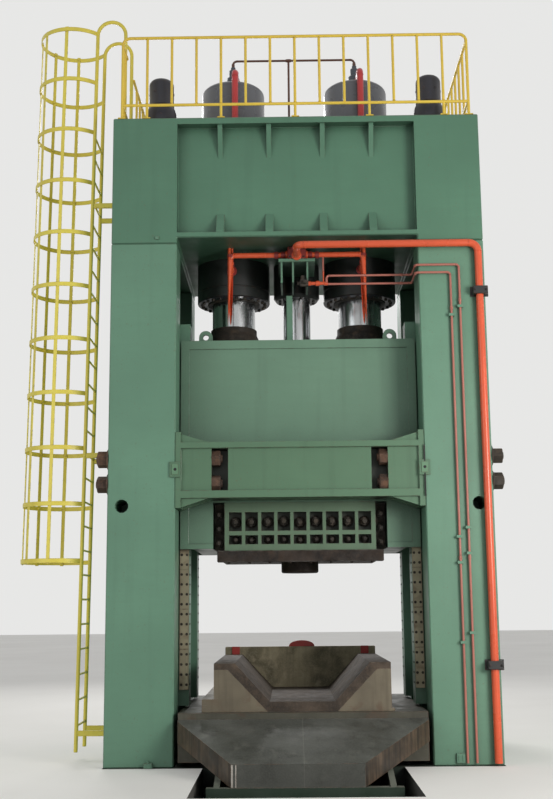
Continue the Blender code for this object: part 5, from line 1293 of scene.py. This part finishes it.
def dress_wear_plates():
    """Screws of the wear plates: shallow ones on the face and flat hexagons on the inner side."""
    pit = [(0.0, 0.0), (0.016, 0.0), (0.016, 0.0005), (0.010, 0.0006), (0.0, 0.0004)]
    for end, side in (("front", -1), ("rear", 1)):
        for name, sign in (("left", -1), ("right", 1)):
            low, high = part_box(f"wear_plates_{end}_{name}")
            tall = (high.z - low.z) / PLATE_COUNT
            face = high.y if side > 0 else low.y
            middle = (low.x + high.x) / 2
            levels = []
            for plate in range(PLATE_COUNT):
                levels += [low.z + (plate + (row + 0.5) / PLATE_ROWS) * tall for row in range(PLATE_ROWS)]
            bm = bmesh.new()
            for z in levels:
                for column in (-0.03, 0.03):
                    turned(bm, pit, aim((middle + column, face, z), (0, side, 0)), 12)
            for z in levels:
                for lane in (0.07, 0.16):
                    spot = (sign * PLATE_INNER, face - side * lane, z)
                    hex_head(bm, spot, (-sign, 0, 0), 0.011, tall=0.004, washer=False)
            piece(f"guide_screws_{end}_{name}", bm, "wear_bronze", finish=DARK_NUT)


def dress_die():
    """Back plate with its red posts, the red dome behind it and two painted highlights on the apron's nose."""
    low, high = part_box("die_back_plate")
    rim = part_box("die_liner")[1].z
    top = high.z - BACK_PLATE_DROP
    bm = bmesh.new()
    block(bm, low, (high.x, high.y, top), 0.006)
    for number in range(BACK_PLATE_NUTS):
        x = low.x + 0.16 + number * (high.x - low.x - 0.32) / (BACK_PLATE_NUTS - 1)
        hex_head(bm, (x, high.y, top - 0.10), BACKWARD, 0.022)
    # The back plate's stained finish is lightened as painted light.
    piece("back_plate", bm, "die_steel", "die_back_plate", finish=PLATE_STAIN_AND_LIGHT)
    bm = bmesh.new()
    for x in (-DIE_POST_X, DIE_POST_X):
        block(bm, (x - 0.050, low.y - 0.012, rim + 0.001), (x + 0.050, low.y + 0.020, top + 0.004), 0.004)
    arch = []
    for turn in [math.pi * step / 20 for step in range(21)]:
        arch.append((KNOB_X + KNOB_HALF * math.cos(turn), top - 0.01 + KNOB_TALL * math.sin(turn) ** 0.8))
    front = [bm.verts.new((x, high.y - 0.05, z)) for x, z in arch]
    rear = [bm.verts.new((x, high.y + 0.03, z)) for x, z in arch]
    bm.faces.new(front)
    bm.faces.new(rear[::-1])
    skin(bm, front, rear)
    piece("die_posts", bm, "die_steel", finish=POST_RED)
    # Painted highlights: two pale strips on the apron's nose stand in for reflections of light.
    bm = bmesh.new()
    low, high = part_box("front_apron")
    for x, half in ((-0.700, 0.009), (-0.664, 0.006)):
        block(bm, (x - half, low.y - 0.002, low.z + 0.004), (x + half, low.y + 0.003, low.z + 0.214), 0.001)
    piece("nose_painted_glints", bm, "apron_steel", finish=NOSE_GLINT)


def dress_adapter():
    """Adapter plate with a deeper bar along its front, a raised underside and its turned boss."""
    low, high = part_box("adapter_plate")
    plate_low = high.z - ADAPTER_THICK
    raised = plate_low + ADAPTER_RECESS
    bm = bmesh.new()
    block(bm, (low.x, low.y, plate_low), (high.x, low.y + ADAPTER_BAR, high.z), 0.006)
    block(bm, (low.x + 0.01, low.y + 0.13, raised), (high.x - 0.01, high.y, high.z - 0.002), 0.006)
    boss = [(0.0, low.z), (0.208, low.z), (0.222, low.z + 0.014)]
    boss += [(0.222, raised + 0.01), (0.0, raised + 0.01)]
    turned(bm, boss, plumb(0.0, 0.0), MIDDLE)
    for number in range(ADAPTER_SCREWS):
        x = low.x + 0.13 + number * (high.x - low.x - 0.26) / (ADAPTER_SCREWS - 1)
        socket_head(bm, (x, low.y + ADAPTER_BAR / 2, plate_low), DOWN, 0.016)
    piece("adapter", bm, "adapter_rust", "adapter_plate", body=MOVING)


for side_name in ("left", "right"):
    dress_main_cylinder(side_name)
    dress_rod(side_name)
    dress_head(side_name)
dress_centre()
dress_tie_rods()
dress_main_pipe()
for side_name, side_sign in (("left", -1), ("right", 1)):
    dress_branch(side_name, side_sign)
    dress_riser(side_name)
dress_drains()
dress_balance_pipe()
dress_clamps()
dress_drain_joint()
dress_railing()
dress_cage(dress_ladder())
dress_holder()
dress_beams()
dress_crown()
dress_slide()
dress_wear_plates()
dress_die()
dress_adapter()


# Floor with the pit that the bed stands in, light and camera

FAR = 60.0
PIT_GAP = 0.012
PIT_HALF = 1.07
PIT_REACH = 1.95
PIT_BASE = -0.002
FLOOR_DROP = 0.004
LAMP_SPREAD = math.radians(150)


def direct_rays(nodes, links):
    """1 for camera, glossy and transmission rays, and 0 for the rays that light the object."""
    rays = nodes.new("ShaderNodeLightPath")
    seen = rays.outputs["Is Camera Ray"]
    for kind in ("Is Glossy Ray", "Is Transmission Ray"):
        either = nodes.new("ShaderNodeMath")
        either.operation = "MAXIMUM"
        links.new(seen, either.inputs[0])
        links.new(rays.outputs[kind], either.inputs[1])
        seen = either.outputs["Value"]
    return seen


def make_floor():
    """A pale floor, with the bed's pit and the smaller one in front of it lined in concrete darkened as
    painted shade.
    """
    look = Finish("pale_floor", 0.85)
    tone = look.mix(look.blots(0.3, 0.7, 0.35, 4.0), (0.66, 0.64, 0.60), (0.73, 0.71, 0.67))
    look.done(tone)
    look.shader.inputs["Emission Color"].default_value = (0.92, 0.90, 0.86, 1.0)
    glow = look.times(direct_rays(look.nodes, look.links), 0.20)
    look.feed(look.shader.inputs["Emission Strength"], glow)
    # Painted shade: the concrete in the pits is far darker than the floor's.
    pit_shade_concrete = enamel("pit_concrete_shaded", (0.10, 0.095, 0.085), gloss=0.8, streaks=0.6, grime=0.6, dust=0.1)
    front = FRONT - PIT_REACH
    xs = [-FAR, bed_low.x - PIT_GAP, -PIT_HALF, PIT_HALF, bed_high.x + PIT_GAP, FAR]
    ys = [-FAR, front, FRONT - PIT_GAP, bed_high.y + PIT_GAP, FAR]
    top = FLOOR - FLOOR_DROP
    bm = bmesh.new()

    def patch(corners, sunk):
        made = bm.faces.new([bm.verts.new(corner) for corner in corners])
        made.material_index = int(sunk)

    for column, (a, b) in enumerate(zip(xs, xs[1:])):
        for row, (c, d) in enumerate(zip(ys, ys[1:])):
            sunk = (row == 2 and 1 <= column <= 3) or (row == 1 and column == 2)
            level = PIT_BASE if sunk else top
            patch([(a, c, level), (b, c, level), (b, d, level), (a, d, level)], sunk)
    outline = [(-PIT_HALF, front), (PIT_HALF, front), (PIT_HALF, ys[2]), (xs[4], ys[2])]
    outline += [(xs[4], ys[3]), (xs[1], ys[3]), (xs[1], ys[2]), (-PIT_HALF, ys[2])]
    for (ax, ay), (bx, by) in zip(outline, outline[1:] + outline[:1]):
        patch([(ax, ay, PIT_BASE), (bx, by, PIT_BASE), (bx, by, top), (ax, ay, top)], True)
    mesh = bpy.data.meshes.new("floor")
    bm.to_mesh(mesh)
    bm.free()
    mesh.materials.append(look.material)
    mesh.materials.append(pit_shade_concrete)
    floor = bpy.data.objects.new("floor", mesh)
    bpy.context.scene.collection.objects.link(floor)


def make_world():
    """Even sky light, with a pale backdrop for the rays that see it directly."""
    world = bpy.data.worlds.new("hall")
    bpy.context.scene.world = world
    world.use_nodes = True
    nodes = world.node_tree.nodes
    links = world.node_tree.links
    background = nodes["Background"]
    background.inputs["Color"].default_value = (0.93, 0.96, 1.0, 1.0)
    background.inputs["Strength"].default_value = 0.40
    pale = nodes.new("ShaderNodeBackground")
    pale.inputs["Color"].default_value = (0.80, 0.80, 0.79, 1.0)
    choose = nodes.new("ShaderNodeMixShader")
    links.new(direct_rays(nodes, links), choose.inputs["Fac"])
    links.new(background.outputs["Background"], choose.inputs[1])
    links.new(pale.outputs["Background"], choose.inputs[2])
    links.new(choose.outputs["Shader"], nodes["World Output"].inputs["Surface"])


def make_lamp(name, at, target, size, power, tint=(1.0, 1.0, 1.0)):
    """A soft rectangular lamp that looks at a target."""
    lamp = bpy.data.lights.new(name, "AREA")
    lamp.shape = "RECTANGLE"
    lamp.size, lamp.size_y = size
    lamp.energy = power
    lamp.spread = LAMP_SPREAD
    lamp.color = tint
    made = bpy.data.objects.new(name, lamp)
    made.location = at
    made.rotation_euler = (Vector(target) - Vector(at)).to_track_quat("-Z", "Y").to_euler()
    bpy.context.scene.collection.objects.link(made)


CAMERA_AT = Vector((-0.133, -14.027, 2.791))
CAMERA_PITCH = math.radians(10.09)
CAMERA_YAW = math.radians(-0.530)
CAMERA_ROLL = math.radians(-0.536)
FOCAL_PIXELS = 1155.46
IMAGE_HEIGHT = 799
SENSOR = 36.0


def make_camera():
    """The photograph's viewpoint."""
    flat = math.cos(CAMERA_PITCH)
    forward = Vector((math.sin(CAMERA_YAW) * flat, math.cos(CAMERA_YAW) * flat, math.sin(CAMERA_PITCH)))
    level = Vector((math.cos(CAMERA_YAW), -math.sin(CAMERA_YAW), 0.0))
    rise = level.cross(forward)
    right = level * math.cos(CAMERA_ROLL) + rise * math.sin(CAMERA_ROLL)
    up = rise * math.cos(CAMERA_ROLL) - level * math.sin(CAMERA_ROLL)
    lens = bpy.data.cameras.new("photo_camera")
    lens.sensor_fit = "VERTICAL"
    lens.sensor_height = SENSOR
    lens.lens = FOCAL_PIXELS * SENSOR / IMAGE_HEIGHT
    lens.clip_end = 200.0
    camera = bpy.data.objects.new("photo_camera", lens)
    turn = Matrix((right, up, -forward)).transposed().to_4x4()
    camera.matrix_world = Matrix.Translation(CAMERA_AT) @ turn
    bpy.context.scene.collection.objects.link(camera)
    bpy.context.scene.camera = camera


make_floor()
make_world()
make_lamp("front_right", (6.2, -8.0, 4.7), (0.3, 0.0, 3.9), (3.0, 2.6), 345.0, (1.0, 0.985, 0.96))
make_lamp("front_left", (-8.0, -9.0, 6.0), (0.0, 0.0, 4.5), (4.0, 6.0), 110.0, (0.93, 0.98, 1.0))
make_lamp("rear_top", (-3.0, 10.5, 12.0), (0.0, 0.0, 5.0), (6.0, 5.0), 560.0)
make_camera()
bpy.context.scene.view_settings.view_transform = "Standard"
